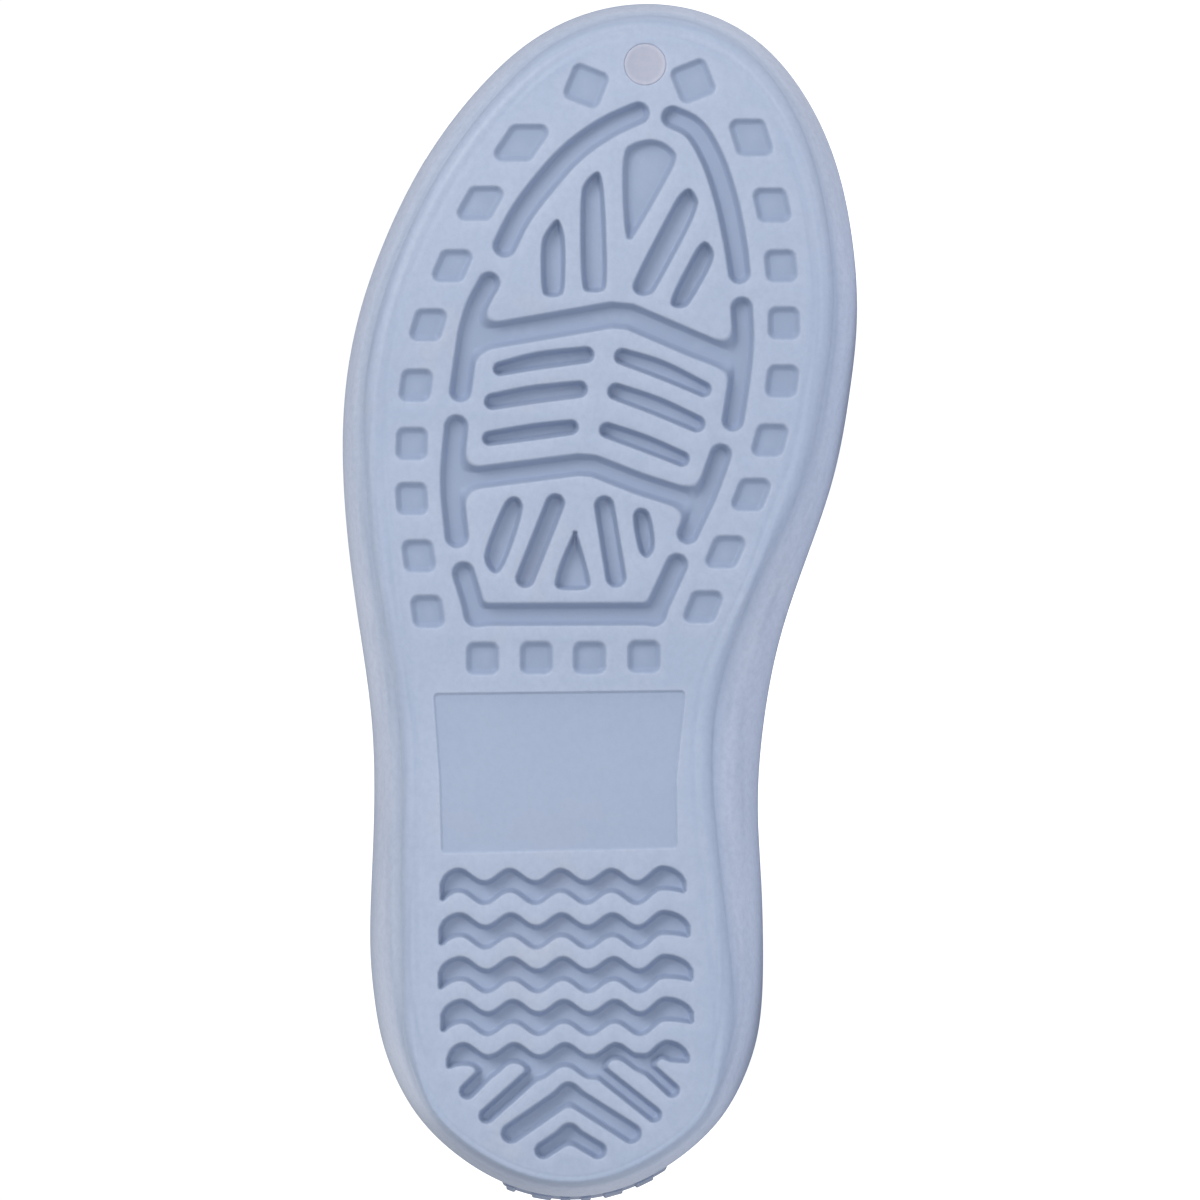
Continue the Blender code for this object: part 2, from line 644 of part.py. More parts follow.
def main():
    for obj in list(bpy.data.objects):
        bpy.data.objects.remove(obj)
    boot = bpy.data.collections.new("deck_boot")
    cutters = bpy.data.collections.new("cutters")
    for collection in (boot, cutters):
        bpy.context.scene.collection.children.link(collection)

    blue_sole = material("sole_blue", (0.402, 0.482, 0.638), 0.55)
    blue_upper = material("upper_blue", (0.385, 0.462, 0.610), 0.5)
    blue_insole = material("insole_blue", (0.352, 0.423, 0.565), 0.8)
    kick_blue = material("kick_blue", (0.275, 0.337, 0.468), 0.6)
    lilac = material("gate_lilac", (0.462, 0.491, 0.610), 0.5)

    outsole = make("outsole", loft(outsole_rings()), boot)
    for name, groove in (("grooves", tread_grooves), ("arms", tread_arms), ("waves", tread_waves),
                         ("pads", tread_pads), ("panel", tread_panel)):
        bm = bmesh.new()
        groove(bm)
        bmesh.ops.recalc_face_normals(bm, faces=bm.faces)
        cut(outsole, make(name, bm, cutters))
    cut(outsole, disc("gate_recess", GATE_RADIUS + GAP, -0.001, GATE_DEPTH, cutters))
    outsole.data.materials.append(blue_sole)

    upper = make("upper", loft(upper_rings(), close_first=False, close_last=False), boot)
    wall = upper.modifiers.new("wall", "SOLIDIFY")
    wall.thickness = WALL
    wall.offset = -1
    wall.use_even_offset = True
    upper.data.materials.append(blue_upper)

    insole = make("insole", loft(insole_rings()), boot)
    insole.data.materials.append(blue_insole)

    kick = make("heel_kick", heel_kick(), boot)
    kick.data.materials.append(kick_blue)

    gate = disc("gate_plug", GATE_RADIUS, GATE_DEPTH - GAP - GATE_THICKNESS, GATE_DEPTH - GAP, boot)
    gate.data.materials.append(lilac)

    pieces = [outsole, upper, insole, kick, gate]
    for obj in pieces:
        obj.data.shade_smooth()
        obj.data.set_sharp_from_angle(angle=math.radians(35))

    turn = resting_turn([outsole, upper])
    depsgraph = bpy.context.evaluated_depsgraph_get()
    corners = [turn @ (obj.matrix_world @ v.co) for obj in pieces
               for v in obj.evaluated_get(depsgraph).data.vertices]
    low = [min(c[i] for c in corners) for i in range(3)]
    high = [max(c[i] for c in corners) for i in range(3)]
    centre = Vector(((low[0] + high[0]) / 2, (low[1] + high[1]) / 2, low[2]))
    rest = bpy.data.objects.new("lying_boot", None)
    boot.objects.link(rest)
    rest.matrix_world = Matrix.Translation(-centre) @ turn
    for obj in pieces + list(cutters.objects):
        obj.parent = rest


main()
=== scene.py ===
# %% [markdown]
# # A child's deck boot, seen from its tread
# The real boot is moulded from light foam. Its sole, upper, insole, heel kick
# and the round mark of the mould's gate are separate pieces here. The solids
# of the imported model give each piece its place, and this script gives each
# one a fine mesh and a finish. The boot lies on its side, so that the camera
# can look straight at the tread.

# %% Load the solids
import math

import bmesh
import bpy
import numpy as np
from mathutils import Matrix, Vector
from mathutils.geometry import delaunay_2d_cdt


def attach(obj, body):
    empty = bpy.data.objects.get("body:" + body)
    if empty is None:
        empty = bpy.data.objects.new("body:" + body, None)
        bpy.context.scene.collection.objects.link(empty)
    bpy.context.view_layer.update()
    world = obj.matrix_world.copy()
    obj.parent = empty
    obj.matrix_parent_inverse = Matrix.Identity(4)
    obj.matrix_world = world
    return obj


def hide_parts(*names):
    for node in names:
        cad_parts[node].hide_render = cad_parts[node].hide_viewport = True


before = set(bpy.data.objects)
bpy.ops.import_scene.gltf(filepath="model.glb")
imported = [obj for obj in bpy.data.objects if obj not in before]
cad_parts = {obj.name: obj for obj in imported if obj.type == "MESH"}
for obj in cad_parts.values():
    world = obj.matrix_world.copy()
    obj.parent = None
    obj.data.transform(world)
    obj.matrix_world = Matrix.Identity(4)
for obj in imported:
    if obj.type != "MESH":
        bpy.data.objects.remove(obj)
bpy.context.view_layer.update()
MM = 0.001
print("solids:", sorted(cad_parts))

# %% [markdown]
# ## Where the boot lies
# Every piece is drawn as if the boot stood: x runs from heel to toe, y
# towards the big toe side and z up from the tread, all in millimetres. The
# real boot is laid on the side edge of its sole and on its collar. That is one
# turn and one shift for all points, so the objects themselves stay unturned.

# %% Lay a point down
# The toe's lift off the floor and how far the tread leans back from upright, as the contacts give them.
TOE_LIFT = math.radians(8.035313)
LEAN = math.radians(1.160697)
# Where the boot's point x = y = z = 0 comes to lie, in mm.
HEEL_PLACE = np.array((-101.9710, -62.3950, 28.7548))


def lying():
    """Columns: the directions of the toe, of the big toe side and up from the tread."""
    lift, lean = (np.array((math.cos(turn), math.sin(turn))) for turn in (TOE_LIFT, LEAN))
    toe = (lift[0], 0.0, lift[1])
    inner = (lift[1] * lean[0], -lean[1], -lift[0] * lean[0])
    up = (lift[1] * lean[1], lean[0], -lift[0] * lean[1])
    return np.array((toe, inner, up)).T


LIE = lying()


def laid(points):
    """Points of the standing boot in mm as points of the lying one in metres."""
    return (np.asarray(points, float) @ LIE.T + HEEL_PLACE) * MM


print("tread looks towards", np.round(-LIE[:, 2], 3))

# %% [markdown]
# ## The outline of the sole
# A foot's outline has no corner, so it is one closed curve. It could be drawn
# by hand as a Bezier curve, but the side of the sole, the bead and the upper
# all follow it at their own distances. A short table of half widths and a
# smooth curve through them gives all of these from the same few numbers.

# %% Outline
SOLE_LENGTH = 205.0
BALL_WIDTH = 88.6
HEEL_THICKNESS = 22.0
FOREFOOT_THICKNESS = 15.0
TOE_SPRING = 8.0
ARCH_RISE = 1.2
HEEL_ROLL = 1.5
WAIST_FLARE = 8.7
BEAD_RISE = 1.9
HALF_STEP = 0.01

# Station from the heel as a share of the length, outer and inner half width
# as shares of the ball width, outer and inner flare as shares of the waist's.
SOLE = (
    (0.000, -0.004, 0.004, 0.27, 0.27),
    (0.033, 0.209, 0.217, 0.27, 0.27),
    (0.067, 0.290, 0.298, 0.28, 0.29),
    (0.100, 0.335, 0.341, 0.39, 0.43),
    (0.133, 0.362, 0.366, 0.47, 0.51),
    (0.167, 0.376, 0.376, 0.57, 0.57),
    (0.200, 0.383, 0.378, 0.64, 0.65),
    (0.267, 0.381, 0.374, 0.60, 0.78),
    (0.333, 0.376, 0.368, 0.56, 0.88),
    (0.400, 0.381, 0.380, 0.55, 0.98),
    (0.467, 0.401, 0.410, 0.50, 0.86),
    (0.533, 0.422, 0.460, 0.47, 0.69),
    (0.600, 0.435, 0.512, 0.46, 0.56),
    (0.667, 0.433, 0.543, 0.41, 0.52),
    (0.733, 0.408, 0.559, 0.38, 0.48),
    (0.800, 0.356, 0.551, 0.38, 0.46),
    (0.867, 0.279, 0.518, 0.39, 0.43),
    (0.933, 0.164, 0.443, 0.38, 0.36),
    (0.967, 0.077, 0.372, 0.34, 0.33),
    (1.000, -0.154, 0.154, 0.27, 0.27),
)


def closed_spline(knots, values):
    """A smooth curve through values that repeats after one turn."""
    knots, values = np.array(knots), np.array(values)
    count = len(knots)
    steps = np.diff(np.append(knots, knots[0] + 2 * math.pi))
    rises = (np.roll(values, -1) - values) / steps
    matrix, right = np.zeros((count, count)), np.zeros(count)
    for i in range(count):
        before, after = steps[i - 1], steps[i]
        matrix[i, i - 1] = after
        matrix[i, i] = 2 * (before + after)
        matrix[i, (i + 1) % count] = before
        right[i] = 3 * (after * rises[i - 1] + before * rises[i])
    slopes = np.linalg.solve(matrix, right)

    def at(angle):
        angle = (np.asarray(angle) - knots[0]) % (2 * math.pi) + knots[0]
        i = np.searchsorted(knots, angle, side="right") - 1
        j = (i + 1) % count
        u = (angle - knots[i]) / steps[i]
        rise = values[j] - values[i]
        a = slopes[i] * steps[i] - rise
        b = rise - slopes[j] * steps[i]
        return (1 - u) * values[i] + u * values[j] + u * (1 - u) * ((1 - u) * a + u * b)

    return at


TURNS = [math.acos(1 - 2 * row[0]) for row in SOLE]
KNOTS = [-turn for turn in TURNS[-2:0:-1]] + TURNS
across_share = closed_spline(KNOTS, [-row[1] for row in SOLE[-2:0:-1]] + [row[2] for row in SOLE])
flare_share = closed_spline(KNOTS, [row[3] for row in SOLE[-2:0:-1]] + [row[4] for row in SOLE])


def outline(angle):
    """Points round the sole: angle 0 at the heel, pi at the toe, below 0 on the outer side."""
    return np.stack([SOLE_LENGTH * (1 - np.cos(angle)) / 2, BALL_WIDTH * across_share(angle)], -1)


def inset(angle, distance):
    """The outline moved in by a distance, which may change round the sole."""
    ahead = outline(angle + HALF_STEP) - outline(angle - HALF_STEP)
    inwards = np.stack([ahead[..., 1], -ahead[..., 0]], -1)
    inwards /= np.linalg.norm(inwards, axis=-1, keepdims=True)
    return outline(angle) + np.asarray(distance)[..., None] * inwards


def flare(angle):
    return flare_share(angle) * WAIST_FLARE


print("sole: %.0f mm long, %.1f mm across the ball" % (SOLE_LENGTH, BALL_WIDTH))

# %% Heights along the sole
def ramp(x):
    """0 to 1, soft at both ends."""
    x = np.clip(x, 0, 1)
    return x * x * (3 - 2 * x)


def spring(x):
    return TOE_SPRING * np.clip((x / SOLE_LENGTH - 0.72) / 0.28, 0, None) ** 2


def bottom(x):
    """Height of the tread: flat under heel and ball, up at both ends."""
    s = x / SOLE_LENGTH
    roll = HEEL_ROLL * np.clip((0.08 - s) / 0.08, 0, None) ** 2
    arch = ARCH_RISE * np.sin(math.pi * np.clip((s - 0.30) / 0.22, 0, 1)) ** 2
    return roll + arch + spring(x)


def top(x):
    """Height of the sole's top edge, where the upper begins."""
    fall = ramp((x / SOLE_LENGTH - 0.22) / 0.40)
    return HEEL_THICKNESS + fall * (FOREFOOT_THICKNESS - HEEL_THICKNESS) + spring(x)


print("toe tip lifts by %.1f mm" % bottom(SOLE_LENGTH))

# %% [markdown]
# ## Hollows as distances
# The tread is full of soft hollows: bars, arcs, tees, waves and small pads.
# Cutting each one with a Boolean leaves hard edges. A distance does better:
# for every point it says how far it is from a hollow's edge, below 0 inside.
# The depth then follows from the distance, so each lip and floor is round.

# %% Distances
def to_line(p, points, widths):
    """Distance to a line with round ends, whose width may change along it."""
    best = np.full(p.shape[:-1], np.inf)
    for a, b, wide, next_wide in zip(points, points[1:], widths, widths[1:]):
        along = b - a
        t = np.clip((p - a) @ along / (along @ along), 0, 1)
        gap = np.linalg.norm(p - a - t[..., None] * along, axis=-1)
        best = np.minimum(best, gap - (wide + t * (next_wide - wide)) / 2)
    return best


def to_polygon(p, corners, rounding):
    """Distance to a closed shape that is then fattened by its rounding."""
    best = np.full(p.shape[:-1], np.inf)
    inside = np.zeros(p.shape[:-1], bool)
    for a, b in zip(corners, np.roll(corners, -1, axis=0)):
        along = b - a
        t = np.clip((p - a) @ along / (along @ along), 0, 1)
        best = np.minimum(best, np.linalg.norm(p - a - t[..., None] * along, axis=-1))
        crosses = (a[1] > p[..., 1]) != (b[1] > p[..., 1])
        rise = np.where(b[1] == a[1], 1.0, b[1] - a[1])
        inside ^= crosses & (p[..., 0] < a[0] + (p[..., 1] - a[1]) * (b[0] - a[0]) / rise)
    return np.where(inside, -best, best) - rounding


def moved_in(corners, distance):
    """The corners of a convex shape with every side moved in."""
    corners = np.asarray(corners, float)
    following = np.roll(corners, -1, axis=0)
    ahead = following - corners
    area = np.sum(corners[:, 0] * following[:, 1] - following[:, 0] * corners[:, 1])
    inwards = np.stack([-ahead[:, 1], ahead[:, 0]], -1) * np.sign(area)
    inwards /= np.linalg.norm(inwards, axis=1, keepdims=True)
    before = np.roll(inwards, 1, axis=0)
    return corners + distance * (inwards + before) / (1 + np.sum(inwards * before, axis=1))[:, None]


def melted(a, b, blend):
    """Two distances joined, the inner corner between them filled softly."""
    h = np.clip(0.5 + 0.5 * (b - a) / blend, 0, 1)
    return b + (a - b) * h - blend * h * (1 - h)


def soft_between(a, b, c, d, t):
    """A place between b and c on a soft curve that also minds a and d."""
    return b + 0.5 * t * ((c - a) + t * (2 * a - 5 * b + 4 * c - d + t * (3 * b - a - 3 * c + d)))


def smooth(points, parts=5):
    """More points on a soft line through the given ones."""
    points = np.array(points, float)
    ends = np.concatenate([points[:1], points, points[-1:]])
    out = [soft_between(*ends[i:i + 4], k / parts) for i in range(len(points) - 1) for k in range(parts)]
    return np.array(out + [points[-1]])


bar = np.array(((0.0, 0.0), (10.0, 0.0)))
print("middle of a bar 4 mm wide:", to_line(np.array((5.0, 0.0)), bar, (4.0, 4.0)), "mm")

# %% [markdown]
# ## The pattern of the tread
# A mould maker cuts these with a round cutter, so each bar is a centre line
# with a width. The tables hold the few points that each line turns at. Pads
# along both edges repeat, and so do the waves, so loops make those.

# %% Bars and arcs
# Each row is a centre line point: x from the heel, y across, width, in mm.
BARS = {
    "mid_bar_outer_1": ((142.0, -11.6, 2.4), (143.4, -5.0, 3.0), (144.4, 3.1, 2.8)),
    "mid_bar_outer_2": ((136.4, -12.9, 2.8), (137.6, -6.0, 3.1), (138.5, 1.9, 2.9)),
    "mid_bar_outer_3": ((130.1, -13.4, 2.5), (131.2, -6.0, 2.8), (132.0, 0.5, 2.6)),
    "mid_bar_inner_1": ((144.1, 9.3, 2.8), (141.9, 15.8, 3.2), (138.5, 23.2, 2.6)),
    "mid_bar_inner_2": ((138.1, 8.2, 2.9), (135.7, 15.0, 3.2), (132.6, 22.0, 2.9)),
    "mid_bar_inner_3": ((131.5, 6.7, 2.7), (129.3, 13.0, 2.9), (126.6, 19.5, 2.6)),
    "fan_2": ((119.0, -2.2, 3.3), (106.2, -7.3, 3.3)),
    "fan_3": ((118.6, 6.2, 3.4), (106.4, 8.2, 3.5)),
}
# Bars with a slanted point, the drop and the wedge: corners as x from the heel, y across.
POINTED = {
    "toe_bar_1": ((176.0, 4.9), (175.2, 5.8), (171.0, 6.3), (160.0, 6.7), (156.0, 6.6), (155.1, 5.9),
                  (155.0, 3.2), (155.8, 2.4), (162.0, 2.1), (172.0, 2.1), (174.2, 2.9)),
    "toe_bar_2": ((168.0, -1.9), (166.7, -1.0), (163.5, -0.4), (155.6, -0.5), (154.3, -1.2),
                  (154.2, -3.8), (155.4, -4.6), (163.5, -4.7), (165.6, -3.8)),
    "toe_bar_3": ((173.3, 20.8), (171.9, 22.1), (169.5, 22.7), (155.6, 15.3), (154.4, 14.2),
                  (154.2, 12.1), (155.4, 10.8), (157.2, 11.0), (171.0, 18.2), (172.5, 19.4)),
    "toe_bar_4": ((164.1, 23.5), (162.8, 24.9), (160.6, 25.2), (153.4, 21.2), (152.2, 20.0),
                  (152.3, 17.9), (153.6, 17.1), (161.5, 21.2), (163.3, 22.3)),
    "fan_1": ((120.1, -9.7), (119.6, -8.2), (117.8, -7.8), (110.0, -10.4), (107.5, -11.7),
              (107.1, -12.7), (108.6, -13.9), (110.6, -14.2), (118.6, -11.0)),
    "fan_4": ((118.0, 11.8), (117.9, 13.2), (116.8, 14.0), (111.9, 14.8), (110.0, 13.9),
              (109.9, 13.1), (111.0, 12.2), (116.6, 11.2)),
}
ARCS = {
    "toe_arc_outer": ((163.1, -10.8, 4.1), (168.2, -8.2, 4.1), (173.6, -4.2, 4.2),
                      (179.1, 0.8, 4.1), (183.2, 6.5, 4.0), (185.8, 12.0, 3.9)),
    "toe_arc_inner": ((185.1, 17.9, 3.9), (183.0, 21.7, 4.0), (177.7, 24.8, 4.1),
                      (170.7, 27.1, 4.1), (163.5, 28.6, 4.0), (158.4, 29.3, 3.8)),
}
YOKE = ((107.1, -17.9, 3.9), (100.0, -15.7, 3.9), (100.1, 14.7, 3.9), (108.5, 18.6, 3.9))
# A tee is two side strokes and the arm that runs into both.
TEES = {
    "tee": (((156.7, -13.5, 3.8), (151.9, -15.9, 3.8), (145.7, -17.3, 3.8), (138.2, -18.4, 3.8)),
            ((147.4, -14.5, 4.4), (151.2, 7.5, 4.5), (150.9, 10.6, 4.5), (146.0, 22.0, 4.5),
             (144.3, 26.3, 4.3)),
            ((152.4, 29.7, 3.8), (146.9, 29.9, 3.8), (140.9, 29.4, 3.8), (133.2, 28.2, 3.8))),
    "low_tee": (((132.1, -19.1, 4.1), (122.7, -19.8, 4.1), (113.4, -19.0, 4.1)),
                ((123.2, -17.0, 3.8), (125.6, 1.7, 3.8), (125.4, 4.4, 3.8), (122.3, 12.3, 3.8),
                 (120.0, 19.5, 3.8)),
                ((127.3, 26.1, 3.8), (120.8, 23.7, 3.8), (113.9, 20.5, 3.8))),
}
PRONGS = (
    ((23.2, -12.5, 2.6), (18.5, -17.2, 2.8)),
    ((22.4, -4.9, 2.7), (14.3, -13.9, 2.7)),
    ((23.0, 4.0, 2.6), (14.5, 14.7, 2.7)),
    ((23.6, 12.4, 2.4), (18.7, 17.8, 2.6)),
)
CHEVRONS = {
    "chevron": ((11.3, -9.7, 3.5), (18.1, 0.1, 3.4), (11.3, 10.8, 3.5)),
    "chevron_low": ((8.4, -4.2, 3.0), (11.3, 0.2, 3.0), (8.4, 5.1, 3.0)),
}
DROP = ((179.5, 9.4), (180.8, 11.4), (181.4, 14.0), (180.9, 16.3), (179.2, 18.4), (178.0, 18.6),
        (175.4, 17.5), (164.7, 11.4), (163.8, 10.4), (165.4, 9.7), (172.0, 9.3))
WEDGE = ((114.4, 1.2), (113.8, 1.6), (109.0, 3.0), (105.4, 3.9), (104.6, 3.6), (104.2, 2.6),
         (104.2, -1.3), (104.7, -2.1), (105.5, -2.3), (109.0, -1.3), (113.9, 0.9))
PANEL = ((86.6, -23.1), (87.1, 20.2), (78.6, 19.3), (71.8, 18.6), (60.0, 18.8),
         (59.1, -21.7), (71.8, -22.0), (80.3, -22.6))

print("bars:", len(BARS) + len(POINTED), " arcs:", len(ARCS), " tees:", len(TEES))

# %% Waves and pads
WAVE_CENTRES = (53.5, 45.9, 38.4, 31.1, 23.7)
WAVE_ENDS = ((-21.9, 20.2), (-22.1, 20.9), (-22.2, 21.4), (-21.8, 21.5), (-20.8, 20.8))
CRESTS_EACH_SIDE = 2
# Side, how far the upper and the lower edge fall at that end, and the lift of its last crest, in mm.
WAVE_FALLS = ((-1, 2.0, 1.5, 0.0), (1, 2.1, 0.5, 0.4))
WAVE_TIP_FALL = 1.25
WAVE_ROUNDING = 0.5
WAVE_POINTS = 81
# The last wave runs into the prongs: its lower edge falls less and reaches into the lands between them.
LAST_WAVE = len(WAVE_CENTRES) - 1
LAST_WAVE_FALL = 0.35
PRONG_REACH = {"outer": 0.6, "inner": 1.2}
WAVE_WIDTH = 4.15
WAVE_HEIGHT = 1.07
WAVE_PITCH = 8.7
WAVE_CREST = -1.26
WAVE_DRIFT = 0.19
OUTER_PADS = ((190.5, 3.1), (180.7, -8.0), (170.3, -15.0), (159.6, -19.8), (149.5, -23.9),
              (139.2, -26.0), (129.2, -26.7), (119.8, -26.7), (110.0, -25.5), (100.5, -24.0))
INNER_PADS = ((191.3, 21.4), (181.6, 31.3), (170.0, 34.9), (159.6, 36.4), (149.8, 36.9),
              (139.9, 36.6), (129.8, 34.5), (120.5, 31.3), (110.7, 26.9), (101.3, 23.1))
SHANK_PADS = ((92.5, -14.6), (92.6, -5.4), (92.6, 3.7), (92.8, 13.0))
PAD_SIZE = 5.7
PAD_ROUNDING = 1.45
GATE_PLACE = (194.2, 13.2)
GATE_RADIUS = 3.6
# The pads beside the gate are the largest, and each one after them is a little smaller.
TOE_PAD_GROWTH = (1.17, 1.14, 1.06)
GATE_PAD_TURN = 0.38
PAD_SLANT_WIDTH = 0.97


def wave_band(row):
    """The closed shape of one wavy groove, kept back by its rounding. Past the
    last crest on each side both edges fall away, and the upper one ends round."""
    left, right = WAVE_ENDS[row][0] + WAVE_ROUNDING, WAVE_ENDS[row][1] - WAVE_ROUNDING
    y = np.linspace(left, right, WAVE_POINTS)
    crest = WAVE_CREST + WAVE_DRIFT * row
    turn = 2 * math.pi * (y - crest) / WAVE_PITCH
    middle = WAVE_CENTRES[row] + WAVE_HEIGHT * np.cos(turn)
    slope = -WAVE_HEIGHT * 2 * math.pi / WAVE_PITCH * np.sin(turn)
    half = WAVE_WIDTH / 2 - WAVE_ROUNDING * np.sqrt(1 + slope ** 2)
    upper_side, lower_side = middle + half, middle - half
    peak = WAVE_CENTRES[row] + WAVE_HEIGHT
    least = WAVE_WIDTH / 2 - WAVE_ROUNDING
    for side, upper_fall, lower_fall, lift in WAVE_FALLS:
        end = left if side < 0 else right
        last = crest + side * CRESTS_EACH_SIDE * WAVE_PITCH
        share = np.clip((y - last) / (end - last), 0, 1)
        past = share > 0
        rise = lift * np.where(past, 1.0, ramp(1 - np.abs(y - last) / (WAVE_PITCH / 2)))
        lower_fall = lower_fall * (LAST_WAVE_FALL if row == LAST_WAVE else 1.0)
        fall = 0.5 * upper_fall * share ** 2 + WAVE_TIP_FALL * (1 - np.sqrt(1 - share ** 2))
        upper_side = np.where(past, peak + least - fall, upper_side) + rise
        lower_side = np.where(past, peak - least - lower_fall * share ** 2, lower_side) + rise
    if row == LAST_WAVE:
        reach = ramp((np.abs(y) - 4.5) / 3.0) * (1 - 0.7 * ramp((np.abs(y) - 15.5) / 2.5))
        lower_side = lower_side + np.where(y < 0, PRONG_REACH["outer"], PRONG_REACH["inner"]) * reach
    return np.concatenate([np.stack([upper_side, y], -1), np.stack([lower_side, y], -1)[::-1]])


def square(centre, along, across, side):
    """Four corners round a centre, slanted where the two directions are."""
    half = side / 2
    return [centre + half * (a * along + b * across) for a, b in ((-1, -1), (1, -1), (1, 1), (-1, 1))]


def pad_corners(row, i):
    """A pad between two lines across the sole, its sides along the pads' own row."""
    x, y = row[i]
    if i == 0:
        turn = GATE_PAD_TURN if y < GATE_PLACE[1] else -GATE_PAD_TURN
        along = np.array((math.cos(turn), math.sin(turn)))
        across = np.array((-along[1], along[0]))
    else:
        ahead, behind = row[max(i - 1, 1)], row[min(i + 1, len(row) - 1)]
        skew = (ahead[1] - behind[1]) / (ahead[0] - behind[0])
        along = np.array((1.0, skew))
        across = np.array((0.0, PAD_SLANT_WIDTH * math.sqrt(1 + skew ** 2)))
    growth = TOE_PAD_GROWTH[i] if i < len(TOE_PAD_GROWTH) else 1.0
    return square(np.array((x, y)), along, across, PAD_SIZE * growth)


print("waves:", len(WAVE_CENTRES), " pads:", len(OUTER_PADS) + len(INNER_PADS) + len(SHANK_PADS))

# %% Every hollow with its depth and the width of its wall
# Depth in mm and width of the wall in mm of each kind of hollow.
CUTS = {
    "bar": (2.7, 0.95),
    "chevron": (2.7, 1.0),
    "arc": (2.3, 1.1),
    "yoke": (2.1, 1.1),
    "tee": (2.2, 1.1),
    "wave": (2.6, 0.95),
    "drop": (2.0, 1.1),
    "panel": (0.45, 0.5),
    "pad": (1.25, 1.1),
    "gate": (0.9, 0.35),
}
# How far a pointed bar's outline is kept back before its edge is rounded again, in mm.
KEPT_BACK = {"toe_bar_1": 0.45, "toe_bar_2": 0.45, "toe_bar_3": 0.62, "toe_bar_4": 0.55,
             "fan_1": 0.2, "fan_4": 0.2}
# How softly the corners between joined strokes are filled, in mm.
BLENDS = {"chevron": 1.2, "yoke": 0.9, "tee": 3.2, "prongs": 0.9}
POINTED_ROUNDING = 0.4


def stroke(rows, soft=False):
    """A centre line with round ends, straight between its points or soft."""
    rows = smooth(rows) if soft else np.array(rows)
    return lambda p: to_line(p, rows[:, :2], rows[:, 2])


def joined(strokes, blend):
    """Several cuts as one, the corners between them filled."""
    def distance(p):
        out = strokes[0](p)
        for other in strokes[1:]:
            out = melted(out, other(p), blend)
        return out
    return distance


def shape(corners, rounding):
    """A closed shape whose corners are rounded inside its own outline."""
    return fattened(moved_in(corners, rounding), rounding)


def fattened(corners, rounding):
    """A closed shape grown by its rounding."""
    return lambda p: to_polygon(p, corners, rounding)


def softened(corners, rounds=2):
    """A closed row of points with its corners cut, twice by default."""
    points = np.array(corners, float)
    for _ in range(rounds):
        ahead = np.roll(points, -1, axis=0)
        points = np.stack([0.75 * points + 0.25 * ahead, 0.25 * points + 0.75 * ahead], 1).reshape(-1, 2)
    return points


def wave_and_prongs():
    """The last wave with the prongs that run out of it."""
    band = wave_band(LAST_WAVE)
    cut = joined([fattened(band, WAVE_ROUNDING)] + [stroke(prong) for prong in PRONGS], BLENDS["prongs"])
    return np.concatenate([band] + [np.array(prong)[:, :2] for prong in PRONGS]), cut


def all_hollows():
    """Name, points that bound it, distance, and the depth and wall of its kind, for each hollow."""
    out = []

    def hollow(name, bounds, distance, kind):
        out.append((name, np.array([row[:2] for row in bounds], float), distance, *CUTS[kind]))

    for name, rows in BARS.items():
        hollow(name, rows, stroke(rows, True), "bar")
    for name, corners in POINTED.items():
        kept = moved_in(softened(corners), KEPT_BACK[name])
        hollow(name, corners, fattened(kept, POINTED_ROUNDING), "bar")
    for name, rows in CHEVRONS.items():
        hollow(name, rows, joined([stroke(rows[:2]), stroke(rows[1:])], BLENDS["chevron"]), "chevron")
    for name, rows in ARCS.items():
        hollow(name, rows, stroke(rows, True), "arc")
    hollow("yoke", YOKE, joined([stroke(YOKE[i:i + 2]) for i in range(3)], BLENDS["yoke"]), "yoke")
    for name, (outer, arm, inner) in TEES.items():
        parts = [stroke(outer, True), stroke(arm), stroke(inner, True)]
        hollow(name, outer + arm + inner, joined(parts, BLENDS["tee"]), "tee")
    for row in range(LAST_WAVE):
        band = wave_band(row)
        hollow("wave_%d" % (row + 1), band, fattened(band, WAVE_ROUNDING), "wave")
    hollow("wave_%d" % (LAST_WAVE + 1), *wave_and_prongs(), "wave")
    hollow("toe_drop", DROP, shape(softened(DROP), 0.5), "drop")
    hollow("fan_wedge", WEDGE, shape(softened(WEDGE), 0.3), "bar")
    hollow("bare_panel", PANEL, shape(PANEL, 0.8), "panel")
    pads = [pad_corners(row, i) for row in (OUTER_PADS, INNER_PADS) for i in range(len(row))]
    pads += [square(np.array(place), np.array((1, 0)), np.array((0, 1)), PAD_SIZE) for place in SHANK_PADS]
    for i, corners in enumerate(pads):
        hollow("pad_%d" % (i + 1), corners, shape(corners, PAD_ROUNDING), "pad")
    disc = ((*GATE_PLACE, 2 * GATE_RADIUS), (GATE_PLACE[0] + 0.01, GATE_PLACE[1], 2 * GATE_RADIUS))
    hollow("gate_recess", (GATE_PLACE,), stroke(disc), "gate")
    return out


# How far past its points a hollow can reach, in mm.
REACH = 3.2
HOLLOWS = []
for name, bounds, distance, depth, wall in all_hollows():
    reach = GATE_RADIUS + 0.9 if name == "gate_recess" else REACH
    HOLLOWS.append((bounds.min(0) - reach, bounds.max(0) + reach, distance, depth, wall))
print(len(HOLLOWS), "hollows in the tread")

# %% [markdown]
# ## Lines of equal distance
# A smooth wall needs mesh edges that run along it. So each hollow's distance
# is sampled on a fine local grid, and marching squares follow the lines where
# it has a given value. More points are kept where a line bends.

